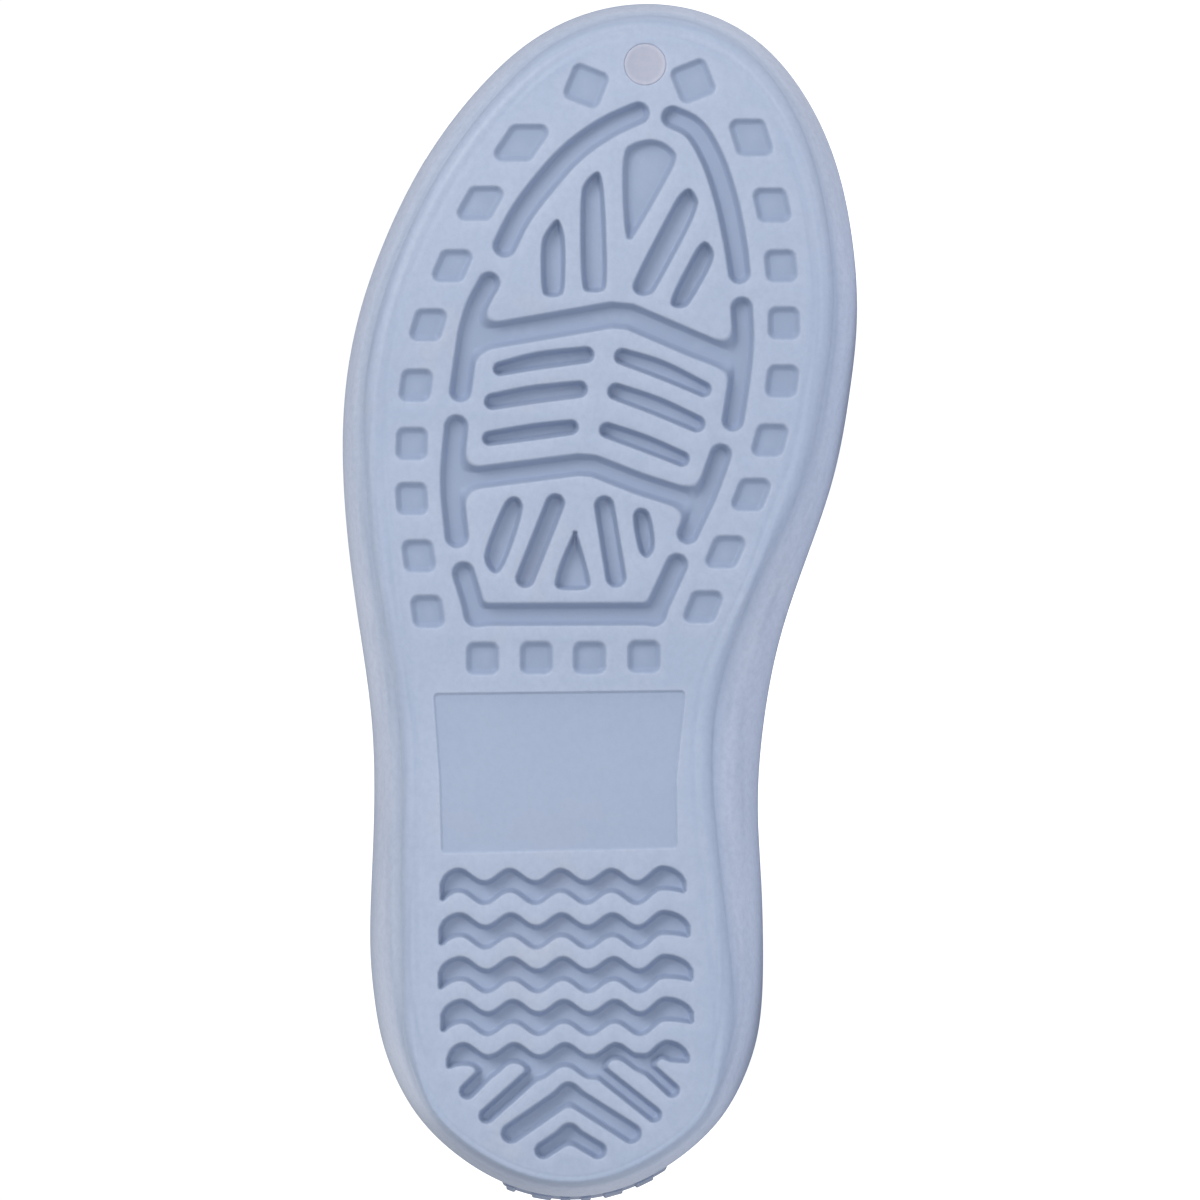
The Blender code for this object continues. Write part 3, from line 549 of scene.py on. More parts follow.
# %% Follow a level through a grid
def trace(field, level):
    """Closed lines of one level, in grid steps, with the low side on the left."""
    rows, columns = field.shape
    low = field < level
    corners = (low[:-1, :-1], low[1:, :-1], low[1:, 1:], low[:-1, 1:])
    index = np.arange(rows * columns).reshape(rows, columns)
    total = rows * columns
    # the four edges of a cell: two along the first axis, two along the second
    edges = (index[:-1, :-1], total + index[1:, :-1], index[:-1, 1:], total + index[:-1, :-1])
    follow = np.full(2 * total, -1)
    leaves = [corners[k] & ~corners[(k + 1) % 4] for k in range(4)]
    enters = [~corners[k] & corners[(k + 1) % 4] for k in range(4)]
    for k in range(4):
        waiting = leaves[k].copy()
        for m in (1, 2, 3):
            other = (k + m) % 4
            hit = waiting & enters[other]
            follow[edges[k][hit]] = edges[other][hit]
            waiting &= ~hit
    lines = []
    seen = np.zeros(2 * total, bool)
    for start in np.nonzero(follow >= 0)[0]:
        if seen[start]:
            continue
        line, at = [], start
        while at >= 0 and not seen[at]:
            seen[at] = True
            line.append(at)
            at = follow[at]
        if at == start and len(line) > 8:
            lines.append(np.array(line))
    flat = field.ravel()
    out = []
    for line in lines:
        second = line >= total
        first_corner = line % total
        next_corner = first_corner + np.where(second, 1, columns)
        t = (level - flat[first_corner]) / (flat[next_corner] - flat[first_corner])
        i, j = first_corner // columns, first_corner % columns
        out.append(np.stack([i + np.where(second, 0, t), j + np.where(second, t, 0)], -1))
    return out


def spaced(line, straight, fine):
    """A closed line with fewer points: close together where it bends."""
    closed = np.vstack([line, line[:1]])
    lengths = np.concatenate([[0], np.cumsum(np.linalg.norm(np.diff(closed, axis=0), axis=1))])
    count = max(12, int(lengths[-1] / 0.1))
    at = np.linspace(0, lengths[-1], count, endpoint=False)
    even = np.stack([np.interp(at, lengths, closed[:, k]) for k in (0, 1)], -1)
    ahead = np.roll(even, -3, axis=0) - even
    behind = even - np.roll(even, 3, axis=0)
    turn = ahead[:, 0] * behind[:, 1] - ahead[:, 1] * behind[:, 0]
    bend = np.abs(turn) / (np.linalg.norm(ahead, axis=1) * np.linalg.norm(behind, axis=1) + 1e-9)
    step = lengths[-1] / count
    bend = np.maximum.reduce([np.roll(bend, k) for k in (-4, -2, 0, 2, 4)]) / (3 * step)
    wanted = np.clip(np.sqrt(8 * fine / np.maximum(bend, 1e-6)), 0.24, straight)
    need = np.concatenate([[0], np.cumsum(step / wanted)])
    kept = max(8, int(round(need[-1])))
    places = np.interp(np.linspace(0, need[-1], kept, endpoint=False), need, np.arange(count + 1))
    ring = np.vstack([even, even[:1]])
    return np.stack([np.interp(places, np.arange(count + 1), ring[:, k]) for k in (0, 1)], -1)


disc = np.hypot(*np.mgrid[-9:10, -9:10])
print("lines round a disc:", len(trace(disc, 6.0)))

# %% Lines round every hollow
GRID_STEP = 0.12
LIP_LINES = (0.32, 0.2, 0.09)
LIP_SOFTNESS = 0.14
WALL_SHARES = (0.0, 0.07, 0.15, 0.25, 0.36, 0.48, 0.61, 0.75, 0.9, 1.02)
SHALLOW_SHARES = WALL_SHARES[::2] + (1.0,)
DEEP = 1.5
LONGEST_EDGE = 1.3
LINE_ERROR = 0.010


def hollow_lines(low, high, distance, depth, wall):
    """Lines that follow a hollow's lip and wall; a shallow one needs fewer."""
    x = np.arange(low[0], high[0] + GRID_STEP, GRID_STEP)
    y = np.arange(low[1], high[1] + GRID_STEP, GRID_STEP)
    field = distance(np.stack(np.meshgrid(x, y, indexing="ij"), -1))
    shares = WALL_SHARES if depth > DEEP else SHALLOW_SHARES
    lines = []
    for level in [*LIP_LINES, *(-share * wall for share in shares)]:
        for line in trace(field, level):
            place = line * GRID_STEP + np.array((x[0], y[0]))
            lines.append(spaced(place, LONGEST_EDGE, LINE_ERROR))
    return lines


def wall_profile(gap, wall):
    """Share of the depth: a small round lip, a steep wall and a wide soft foot."""
    t = -gap / wall
    t = (t + np.sqrt(t ** 2 + LIP_SOFTNESS ** 2)) / 2
    t = np.clip(t, 0, 1)
    return (1 - (1 - t) ** 1.8) * ramp((0.30 - gap) / 0.22)


def tread_depth(p):
    """Depth of the tread's hollows at points, and how near a lip each one is."""
    depth_there, lip_there = np.zeros(len(p)), np.full(len(p), 9.0)
    for low, high, distance, depth, wall in HOLLOWS:
        near = np.nonzero(np.all((p > low) & (p < high), axis=1))[0]
        if not len(near):
            continue
        gap = distance(p[near])
        depth_there[near] = np.maximum(depth_there[near], depth * wall_profile(gap, wall))
        closer = np.abs(gap) < np.abs(lip_there[near])
        lip_there[near[closer]] = gap[closer]
    return depth_there, lip_there


tread_lines = []
for hollow in HOLLOWS:
    tread_lines += hollow_lines(*hollow)
print(len(tread_lines), "lines with", sum(len(line) for line in tread_lines), "points")

# %% [markdown]
# ## The outsole as one skin
# The real sole is one moulding: a flat plate with a rounded shoulder, a soft
# crease above it, and a side that flares out before it meets the upper. The
# plate is filled between all those lines by a Delaunay triangulation, which
# keeps each line as mesh edges. The side is a row of rings that starts on the
# plate's own edge, so the skin is closed.

# %% Side of the sole
AROUND = 480
ANGLES = np.arange(AROUND) * 2 * math.pi / AROUND
# Share of the flare, mm added to it, mm over the tread, share of the side's height.
SIDE = (
    (1.00, 4.20, 0.00, 0.00),
    (1.00, 3.75, 0.02, 0.00),
    (1.00, 3.35, 0.09, 0.00),
    (1.00, 3.00, 0.11, 0.00),
    (1.00, 2.60, 0.04, 0.00),
    (1.00, 2.20, -0.03, 0.00),
    (1.00, 1.80, -0.02, 0.00),
    (1.00, 1.35, 0.12, 0.00),
    (1.00, 0.85, 0.38, 0.00),
    (1.00, 0.45, 0.72, 0.00),
    (1.00, 0.16, 1.10, 0.00),
    (1.00, 0.02, 1.42, 0.00),
    (0.96, 0.00, 1.58, 0.005),
    (0.84, 0.00, 1.64, 0.035),
    (0.66, 0.00, 1.72, 0.095),
    (0.45, 0.00, 1.80, 0.19),
    (0.27, 0.00, 1.86, 0.31),
    (0.12, 0.00, 1.90, 0.46),
    (0.03, 0.00, 1.90, 0.62),
    (0.00, 0.00, 1.90, 0.78),
    (0.00, 0.00, 1.90, 0.90),
    (0.00, 0.10, 1.90, 0.965),
    (0.00, 0.34, 1.90, 0.993),
    (0.00, 0.80, 1.90, 1.00),
)


def border_share():
    """How wide the plate's border is: narrow at the heel and beside the last inner pad."""
    x, y = outline(ANGLES).T
    beside_pad = np.exp(-((x - 102.0) / 9.0) ** 2) * (y > 0)
    return (0.5 + 0.5 * ramp((x - 12.0) / 22.0)) * (1 - 0.35 * beside_pad)


def side_rings():
    rings = []
    border = border_share()
    for share, more, over, rise in smooth(SIDE, 2):
        place = inset(ANGLES, flare(ANGLES) * share + more * border)
        x = place[:, 0]
        softer = border if abs(over) < 0.13 else 1.0
        z = bottom(x) + over * softer + rise * (top(x) - bottom(x) - BEAD_RISE)
        rings.append(np.column_stack([place, z]))
    rings[-1][:, 2] = top(rings[-1][:, 0])
    return rings


SIDE_RINGS = side_rings()
print(len(SIDE_RINGS), "rings up the side")

# %% Plate with its hollows
FILL_PITCH = 2.4
CLEAR_OF_EDGE = 1.0
CLEAR_OF_LIP = 0.9
CLEAR_OF_FOOT = 1.9


def fill_points(ring):
    """Points on a coarse grid inside the plate, clear of every line."""
    low, high = ring.min(0), ring.max(0)
    x = np.arange(low[0], high[0], FILL_PITCH)
    y = np.arange(low[1], high[1], FILL_PITCH)
    grid = np.stack(np.meshgrid(x, y, indexing="ij"), -1).reshape(-1, 2)
    grid = grid[to_polygon(grid, ring[::4], 0.0) < -CLEAR_OF_EDGE]
    near = tread_depth(grid)[1]
    return grid[(near > CLEAR_OF_LIP) | (near < -CLEAR_OF_FOOT)]


def plate_mesh():
    ring = SIDE_RINGS[0][:, :2]
    points, edges = [ring], []
    start = AROUND
    for line in tread_lines:
        ids = np.arange(start, start + len(line))
        edges.append(np.column_stack([ids, np.roll(ids, -1)]))
        points.append(line)
        start += len(line)
    points = np.concatenate(points + [fill_points(ring)])
    edges = np.concatenate(edges)
    corners, _, faces, *_ = delaunay_2d_cdt([Vector(p) for p in points], [tuple(map(int, e)) for e in edges],
                                            [list(range(AROUND))], 1, 1e-6, False)
    flat = np.array([tuple(v) for v in corners])
    # The filling also spans the hollow waist outside the plate; those faces go.
    middles = np.array([flat[list(face)].mean(0) for face in faces])
    within = to_polygon(middles, ring, 0.0) < 0
    return flat, [face for face, keep in zip(faces, within) if keep]


plate_points, plate_faces = plate_mesh()
plate_depths = tread_depth(plate_points)[0]
print("plate:", len(plate_points), "points, deepest", round(plate_depths.max(), 2), "mm")


# %% Make the mesh objects
MERGE_WITHIN = 2e-7


def placed(name, data):
    """A new object in the scene, at the origin."""
    thing = bpy.data.objects.new(name, data)
    bpy.context.scene.collection.objects.link(thing)
    return thing


def finish_mesh(mesh):
    """Points that meet become one, normals look outwards and the faces are smooth."""
    bm = bmesh.new()
    bm.from_mesh(mesh)
    bmesh.ops.remove_doubles(bm, verts=bm.verts, dist=MERGE_WITHIN)
    bmesh.ops.recalc_face_normals(bm, faces=bm.faces)
    bm.to_mesh(mesh)
    bm.free()
    mesh.shade_smooth()


def new_piece(name, points, faces):
    """A mesh object from points of the standing boot."""
    mesh = bpy.data.meshes.new(name)
    mesh.from_pydata([tuple(p) for p in laid(points)], [], faces)
    finish_mesh(mesh)
    return placed(name, mesh)


def ring_faces(first, count, rings, closed=True):
    """Quads between rings of points that are stored one after another."""
    faces = []
    for r in range(rings - 1):
        low = first + r * count
        for i in range(count if closed else count - 1):
            j = (i + 1) % count
            faces.append((low + i, low + j, low + count + j, low + count + i))
    return faces


def lid_faces(first, count):
    """Quads across the sole that close a ring."""
    half = count // 2
    faces = [(first, first + 1, first + count - 1)]
    for i in range(1, half - 1):
        faces.append((first + i, first + i + 1, first + count - i - 1, first + count - i))
    faces.append((first + half - 1, first + half, first + half + 1))
    return faces


def build_outsole():
    heights = bottom(plate_points[:, 0]) + plate_depths
    plate = np.column_stack([plate_points, heights])
    start = len(plate)
    points = np.concatenate([plate] + SIDE_RINGS)
    faces = plate_faces + ring_faces(start, AROUND, len(SIDE_RINGS))
    faces += lid_faces(start + (len(SIDE_RINGS) - 1) * AROUND, AROUND)
    return new_piece("boot_outsole", points, faces)


outsole = build_outsole()
print("outsole:", len(outsole.data.polygons), "faces")

# %% [markdown]
# ## The upper
# The upper is one hollow wall, 3 mm thick. Its foot part follows the sole and
# the shaft is an oval, so each section is a mix of the two. The sections come
# from short tables, and a soft curve runs through them. The wall is made from
# the outer face and a copy moved in along its normals, with a round rim.

# %% Sections of the upper
WALL = 3.0
LEDGE = 1.6
ANKLE_HEIGHT = 80.0
BOOT_HEIGHT = 125.0
ANKLE_LENGTH = 108.5
SHAFT_LENGTH = 91.0
SHAFT_WIDTH = 64.5
CUFF_BAND = 8.5
CUFF_STEP = 0.8
GAP = 0.3

# Toe end, its height, heel end, its height, width, share of the oval.
FOOT = (
    (1.000, 0.00, 0.000, 0.00, 1.00, 0.00),
    (1.000, 0.11, 0.000, 0.11, 1.00, 0.00),
    (1.004, 0.21, -0.004, 0.24, 1.00, 0.00),
    (0.990, 0.35, -0.005, 0.37, 0.99, 0.00),
    (0.945, 0.47, -0.002, 0.49, 0.94, 0.08),
    (0.865, 0.58, 0.003, 0.59, 0.86, 0.18),
    (0.765, 0.69, 0.009, 0.69, 0.80, 0.35),
    (0.660, 0.81, 0.015, 0.81, 0.76, 0.60),
    (0.592, 0.91, 0.020, 0.90, 0.74, 0.82),
)
# Height from ankle to cuff, back edge, share of the way to the shaft's length, width.
SHAFT = (
    (0.00, 0.025, 0.00, 0.965),
    (0.28, 0.029, 0.46, 0.955),
    (0.62, 0.030, 0.82, 0.965),
    (1.00, 0.026, 1.00, 1.000),
)


def upper_rows():
    rows = []
    inner_length = SOLE_LENGTH - 2 * LEDGE
    for toe, toe_up, heel, heel_up, width, oval in FOOT:
        front, back = LEDGE + toe * inner_length, LEDGE + heel * inner_length
        rows.append((front, GAP + top(front) + toe_up * (ANKLE_HEIGHT - top(front)),
                     back, GAP + top(back) + heel_up * (ANKLE_HEIGHT - top(back)),
                     width, SHAFT_WIDTH, oval))
    cuff = BOOT_HEIGHT - CUFF_BAND
    for up, back, shorter, width in SHAFT:
        back = back * SOLE_LENGTH
        front = back + ANKLE_LENGTH + shorter * (SHAFT_LENGTH - ANKLE_LENGTH)
        z = ANKLE_HEIGHT + up * (cuff - ANKLE_HEIGHT)
        rows.append((front, z, back, z, FOOT[-1][4], width * SHAFT_WIDTH, 1.0))
    return np.array(rows)


UPPER_ROWS = upper_rows()
LAST_LEVEL = len(UPPER_ROWS) - 1


def upper_section(level):
    """Sizes at levels between two rows; level may be an array."""
    level = np.asarray(level, float)[..., None]
    i = np.clip(level.astype(int), 1, LAST_LEVEL - 1)
    t = level - i
    near = [UPPER_ROWS[np.clip(i + k, 0, LAST_LEVEL)[..., 0]] for k in (-1, 0, 1, 2)]
    straight = UPPER_ROWS[0] + level * (UPPER_ROWS[1] - UPPER_ROWS[0])
    return np.where(level <= 1, straight, soft_between(*near, t))


def upper_point(angle, level, swell=0.0):
    """Points of the upper's outer face; level counts the rows of the tables."""
    front, front_z, back, back_z, width, oval_width, oval = np.moveaxis(upper_section(level), -1, 0)
    foot = inset(angle, np.full_like(angle, LEDGE))
    share = (foot[..., 0] - LEDGE) / (SOLE_LENGTH - 2 * LEDGE)
    dip = top(foot[..., 0]) - top(LEDGE) - share * (top(SOLE_LENGTH - LEDGE) - top(LEDGE))
    share = share + oval * ((1 - np.cos(angle)) / 2 - share)
    side = (1 - oval) * width * foot[..., 1] + oval * (oval_width / 2 + swell) * np.sin(angle)
    up = back_z + share * (front_z - back_z) + dip * np.clip(1 - (level - 1) / 4, 0, 1)
    return np.stack([back - swell + share * (front - back + 2 * swell), side, up], -1)


print("upper:", len(UPPER_ROWS), "sections, collar at", BOOT_HEIGHT, "mm")

# %% [markdown]
# ## Creases
# Foam of this thickness doesn't fold sharply: it keeps a few soft troughs
# where the foot bends it, over the instep and behind the ankle. Each crease is
# placed as a line on the wall, a trough with a low ridge on each side.

# %% Creases placed one by one
# Angle of the middle, half length in radians, level, droop of the ends, depth in mm, width in levels.
CREASES = (
    (3.14, 0.95, 7.55, 0.55, 0.95, 0.30),
    (3.20, 0.75, 8.35, 0.30, 0.70, 0.26),
    (3.05, 0.60, 6.70, 0.70, 0.45, 0.28),
    (0.00, 0.80, 8.70, -0.30, 0.60, 0.30),
    (0.10, 0.60, 9.55, -0.20, 0.35, 0.26),
)


def crease_shift(angle, level):
    """How far creases press the wall in, in mm."""
    out = np.zeros(np.broadcast(angle, level).shape)
    for middle, reach, at, droop, depth, width in CREASES:
        away = (angle - middle + math.pi) % (2 * math.pi) - math.pi
        along = np.clip(away / reach, -1, 1)
        off = (level - at + droop * along ** 2) / width
        fade = (1 - along ** 2) ** 2
        out -= depth * fade * (np.exp(-off ** 2) - 0.42 * np.exp(-((np.abs(off) - 1.9) / 0.8) ** 2))
    return out


print(len(CREASES), "creases, deepest", max(row[4] for row in CREASES), "mm")

# %% Wall of the upper
UPPER_AROUND = 288
UPRIGHT_BELOW = 0.8
# Swell in mm, height over the cuff's lower edge in mm.
CUFF_EDGE = ((0.04, 0.0), (0.22, 0.10), (0.52, 0.24), (0.74, 0.48),
             (0.80, 0.85), (0.80, 2.2), (0.80, 4.0), (0.80, 5.8))


def normals_of(grid):
    """Unit normals of a grid of points that closes along its second axis."""
    up = np.gradient(grid, axis=0)
    along = (np.roll(grid, -1, axis=1) - np.roll(grid, 1, axis=1)) / 2
    out = np.cross(up, along)
    out /= np.linalg.norm(out, axis=-1, keepdims=True)
    centre = grid.mean(axis=1, keepdims=True)
    if np.sum(out[5] * (grid - centre)[5]) < 0:
        out = -out
    return out


def build_upper():
    angles = np.arange(UPPER_AROUND) * 2 * math.pi / UPPER_AROUND
    levels = np.concatenate([np.linspace(0, 1, 5)[:-1], np.linspace(1, LAST_LEVEL, 78)])
    angle, level = np.meshgrid(angles, levels)
    rings = upper_point(angle, level)
    rim = WALL / 2
    cuff_rows = CUFF_EDGE + ((CUFF_STEP, CUFF_BAND - rim),)
    cuff_level = np.full_like(angles, LAST_LEVEL)
    cuff = [upper_point(angles, cuff_level, swell) + (0, 0, up) for swell, up in cuff_rows]
    outer = np.concatenate([rings, cuff])
    normal = normals_of(outer)
    # The rings at the foot of the wall stand upright.
    normal[:np.sum(levels < UPRIGHT_BELOW), :, 2] = 0
    normal /= np.linalg.norm(normal, axis=-1, keepdims=True)
    shift = np.zeros(outer.shape[:2])
    shift[:len(levels)] = crease_shift(angle, level)
    outer = outer + normal * shift[..., None]
    sideways = normal[-1] * (1, 1, 0)
    sideways /= np.linalg.norm(sideways, axis=-1, keepdims=True)
    bends = np.linspace(0, math.pi, 11)[1:-1]
    edge = [outer[-1] - sideways * rim * (1 - math.cos(b)) + (0, 0, rim * math.sin(b)) for b in bends]
    kept = np.r_[0:len(levels) - 1:2, len(levels) - 1]
    inner = rings[kept] - normal[kept] * WALL + normal[kept] * shift[kept][..., None]
    inner_top = outer[-1] - sideways * WALL
    skin = np.concatenate([outer, edge, inner_top[None], inner[::-1]])
    faces = ring_faces(0, UPPER_AROUND, len(skin))
    last = (len(skin) - 1) * UPPER_AROUND
    for i in range(UPPER_AROUND):
        j = (i + 1) % UPPER_AROUND
        faces.append((last + i, last + j, j, i))
    return new_piece("boot_upper", skin.reshape(-1, 3), faces)


upper = build_upper()
print("upper:", len(upper.data.polygons), "faces")

# %% [markdown]
# ## The insole
# A loose foam insole lies inside on the sole's top. It is a lens with a soft
# edge and a slight dish. It is filled by lines across the foot, which keep
# its own outline and leave no pole in the middle.

# %% Insole
INSOLE_THICKNESS = 4.0
INSOLE_CLEARANCE = 0.4
INSOLE_DISH = 0.7
# How far in from the edge and how far over the sole's top, in mm.
INSOLE_EDGE = ((0.5, 0.0), (0.12, 0.15), (0.0, 0.6), (0.0, 2.6),
               (0.15, 3.3), (0.5, 3.75), (1.0, INSOLE_THICKNESS))
INSOLE_AROUND = 160
INSOLE_ACROSS = 20


def across_grid(ring, dish):
    """Points between the two sides of a ring, row by row from heel to toe."""
    half = len(ring) // 2
    share = np.linspace(0, 1, INSOLE_ACROSS + 1)[:, None]
    rows = []
    for i in range(1, half):
        row = ring[i] + share * (ring[-i] - ring[i])
        row[:, 2] = top(row[:, 0]) + ring[i][2] - top(ring[i][0])
        row[:, 2] -= dish * (1 - (2 * share[:, 0] - 1) ** 2) * math.sin(math.pi * i / half) ** 0.5
        rows.append(row)
    return rows


def build_insole():
    angles = np.arange(INSOLE_AROUND) * 2 * math.pi / INSOLE_AROUND
    edge = LEDGE + WALL + INSOLE_CLEARANCE
    rings = []
    for more, up in INSOLE_EDGE:
        place = inset(angles, np.full_like(angles, edge + more))
        rings.append(np.column_stack([place, top(place[:, 0]) + GAP + up]))
    points = [np.concatenate(rings)]
    faces = ring_faces(0, INSOLE_AROUND, len(rings))
    start = len(rings) * INSOLE_AROUND
    half = INSOLE_AROUND // 2
    wide = INSOLE_ACROSS + 1
    for ring, dish in ((0, 0.0), (len(rings) - 1, INSOLE_DISH)):
        rows = across_grid(rings[ring], dish)
        points.append(np.concatenate(rows))
        faces += ring_faces(start, wide, len(rows), closed=False)
        heel = ring * INSOLE_AROUND
        for end, first in ((heel, start), (heel + half, start + (len(rows) - 1) * wide)):
            faces += [(end, first + k, first + k + 1) for k in range(wide - 1)]
        start += len(rows) * wide
    return new_piece("boot_insole", np.concatenate(points), faces)


insole = build_insole()
print("insole:", len(insole.data.polygons), "faces")

# %% [markdown]
# ## The heel kick
# A ribbed pad on the heel lets a child push the boot off with the other foot.
# The pad itself is a thin block that follows the back of the upper: each point
# is found by its place across and its height, then lifted off the wall. Its
# ribs repeat, so Geometry Nodes make them: lines laid over the pad are swept
# with a rounded profile whose width and height are the tree's inputs.

# %% Points over the back of the upper
KICK_WIDTH = 27.5
KICK_SHIFT = 2.7
KICK_LOW = 27.0
KICK_HIGH = 60.0
KICK_THICKNESS = 1.5
KICK_CORNER = 3.5
KICK_EDGE = 0.9
KICK_EDGE_LEFT = 0.35
SMALL_STEP = 0.01
STEPS_TO_PLACE = 30


def kick_point(across, up, lift):
    """Points over the heel and the wall's normals there, found by Newton's steps."""
    across, up = np.broadcast_arrays(np.asarray(across, float), np.asarray(up, float))
    y = KICK_SHIFT + (across - 0.5) * KICK_WIDTH
    z = KICK_LOW + up * (KICK_HIGH - KICK_LOW)
    angle, level = np.zeros_like(y), np.full_like(y, 3.0)

    def around():
        p = upper_point(angle, level)
        return p, upper_point(angle + SMALL_STEP, level) - p, upper_point(angle, level + SMALL_STEP) - p

    for _ in range(STEPS_TO_PLACE):
        p, along, above = around()
        angle = angle + (y - p[..., 1]) / (along[..., 1] / SMALL_STEP)
        level = level + (z - p[..., 2]) / (above[..., 2] / SMALL_STEP)
    p, along, above = around()
    normal = np.cross(above, along)
    normal /= np.linalg.norm(normal, axis=-1, keepdims=True)
    return p + normal * np.asarray(lift)[..., None], normal


# %% Pad of the heel kick
# Place across and how far the lower edge is cut back there, in mm.
KICK_SCALLOP = ((0.00, 1.6), (0.03, 0.4), (0.11, 0.0), (0.125, 0.8), (0.16, 0.8), (0.18, 0.1),
                (0.33, 0.0), (0.345, 0.5), (0.36, 0.0), (0.42, 0.0), (0.435, 0.6), (0.46, 0.6),
                (0.475, 0.0), (0.56, 0.1), (0.58, 0.5), (0.60, 0.2), (0.72, 0.1), (0.75, 0.5),
                (0.78, 0.1), (0.92, 0.2), (0.97, 0.6), (1.00, 2.0))


def build_kick_pad():
    across = np.linspace(0, 1, 121)
    share = np.linspace(0, 1, 49)
    height = KICK_HIGH - KICK_LOW
    corner = np.clip(1 - np.minimum(across, 1 - across) * KICK_WIDTH / KICK_CORNER, 0, 1)
    low = np.interp(across, *np.array(KICK_SCALLOP).T) / height
    high = 1 - KICK_CORNER * (1 - np.sqrt(1 - corner ** 2)) / height
    a = np.broadcast_to(across[:, None], (len(across), len(share)))
    up = low[:, None] + share[None] * (high - low)[:, None]
    side = np.minimum(a, 1 - a) * KICK_WIDTH
    ends = np.minimum(up - low[:, None], high[:, None] - up) * height
    rounded = np.sqrt(1 - (1 - np.clip(np.minimum(side, ends) / KICK_EDGE, 0, 1)) ** 2)
    thickness = KICK_THICKNESS * (KICK_EDGE_LEFT + (1 - KICK_EDGE_LEFT) * rounded)
    outer = kick_point(a, up, GAP + thickness)[0]
    inner = kick_point(a, up, GAP)[0]
    rows, columns = a.shape
    points = np.concatenate([outer.reshape(-1, 3), inner.reshape(-1, 3)])
    under = rows * columns
    faces = ring_faces(0, columns, rows, closed=False) + ring_faces(under, columns, rows, closed=False)
    ids = np.arange(under).reshape(rows, columns)
    border = [int(v) for v in (*ids[:, 0], *ids[-1, 1:], *ids[-2::-1, -1], *ids[0, -2:0:-1])]
    for v, w in zip(border, border[1:] + border[:1]):
        faces.append((v, w, under + w, under + v))
    return new_piece("heel_kick_pad", points, faces)


kick_pad = build_kick_pad()
print("heel kick pad:", len(kick_pad.data.polygons), "faces")

# %% Nodes that sweep a rounded rib along lines
def add(tree, kind, given=None, **settings):
    """A new node. What is given to an input is a value, or another node's output."""
    node = tree.nodes.new(kind)
    for name, value in settings.items():
        setattr(node, name, value)
    for name, value in (given or {}).items():
        if isinstance(value, bpy.types.NodeSocket):
            tree.links.new(value, node.inputs[name])
        else:
            node.inputs[name].default_value = value
    return node


def sockets(tree, in_out, rows):
    """Named sockets of a group: name, kind and, where there is one, value."""
    for name, kind, *value in rows:
        socket = tree.interface.new_socket(name, in_out=in_out, socket_type="NodeSocket" + kind)
        if value:
            socket.default_value = value[0]


def rib_tree():
    tree = bpy.data.node_groups.new("Ribs along lines", "GeometryNodeTree")
    sockets(tree, "INPUT", (("Lines", "Geometry"), ("Rib width", "Float", 0.0016),
                            ("Rib height", "Float", 0.0010), ("Rounding", "Float", 0.00045),
                            ("Finish", "Material")))
    sockets(tree, "OUTPUT", (("Ribs", "Geometry"),))
    given = add(tree, "NodeGroupInput").outputs
    curve = add(tree, "GeometryNodeMeshToCurve", {"Mesh": given["Lines"]})
    lift = add(tree, "GeometryNodeInputNamedAttribute", {"Name": "lift"}, data_type="FLOAT_VECTOR")
    turned = add(tree, "GeometryNodeSetCurveNormal",
                 {"Curve": curve.outputs["Curve"], "Normal": lift.outputs["Attribute"]}, mode="FREE")
    profile = add(tree, "GeometryNodeCurvePrimitiveQuadrilateral",
                  {"Height": given["Rib width"], "Width": given["Rib height"]})
    fillet = add(tree, "GeometryNodeFilletCurve",
                 {"Curve": profile.outputs["Curve"], "Radius": given["Rounding"], "Count": 4,
                  "Limit Radius": True}, mode="POLY")
    sweep = add(tree, "GeometryNodeCurveToMesh", {
        "Curve": turned.outputs["Curve"], "Profile Curve": fillet.outputs["Curve"], "Fill Caps": True})
    real = add(tree, "GeometryNodeRealizeInstances", {"Geometry": sweep.outputs["Mesh"]})
    paint = add(tree, "GeometryNodeSetMaterial",
                {"Geometry": real.outputs["Geometry"], "Material": given["Finish"]})
    add(tree, "NodeGroupOutput", {"Ribs": paint.outputs["Geometry"]})
    return tree


RIB_TREE = rib_tree()


def inputs_of(tree):
    return {item.name: item.identifier for item in tree.interface.items_tree if item.in_out == "INPUT"}


print("rib tree inputs:", sorted(inputs_of(RIB_TREE)))

# %% [markdown]
# ## Finishes
# All the pieces are foam, so one node group makes what they share: a soft
# mottle, a few pale or warm smudges, the fine grain of the mould and its
# height. From masks it also paints light and shade into the colour: highlights
# along lips and rims, shade in the tread's hollows and a sheen up the sole's
# side. Each material places the group with its own colours and amounts, and
# keeps its own shader. The group reads Object coordinates, which are metres on
# the boot, so the grain has the same size on every piece.

# %% The shared foam skin
def noise(tree, place, scale, detail, roughness=0.5):
    given = {"Vector": place, "Scale": scale, "Detail": detail, "Roughness": roughness}
    return add(tree, "ShaderNodeTexNoise", given).outputs["Fac"]


def between(tree, value, low, high, to_low=0.0, to_high=1.0):
    given = {"Value": value, "From Min": low, "From Max": high, "To Min": to_low, "To Max": to_high}
    return add(tree, "ShaderNodeMapRange", given, interpolation_type="SMOOTHSTEP").outputs["Result"]


def times(tree, a, b):
    return add(tree, "ShaderNodeMath", {0: a, 1: b}, operation="MULTIPLY").outputs[0]


def plus(tree, a, b):
    return add(tree, "ShaderNodeMath", {0: a, 1: b}, operation="ADD").outputs[0]


def blend_colours(tree, share, a, b):
    return add(tree, "ShaderNodeMix", {"Factor": share, "A": a, "B": b}, data_type="RGBA").outputs["Result"]


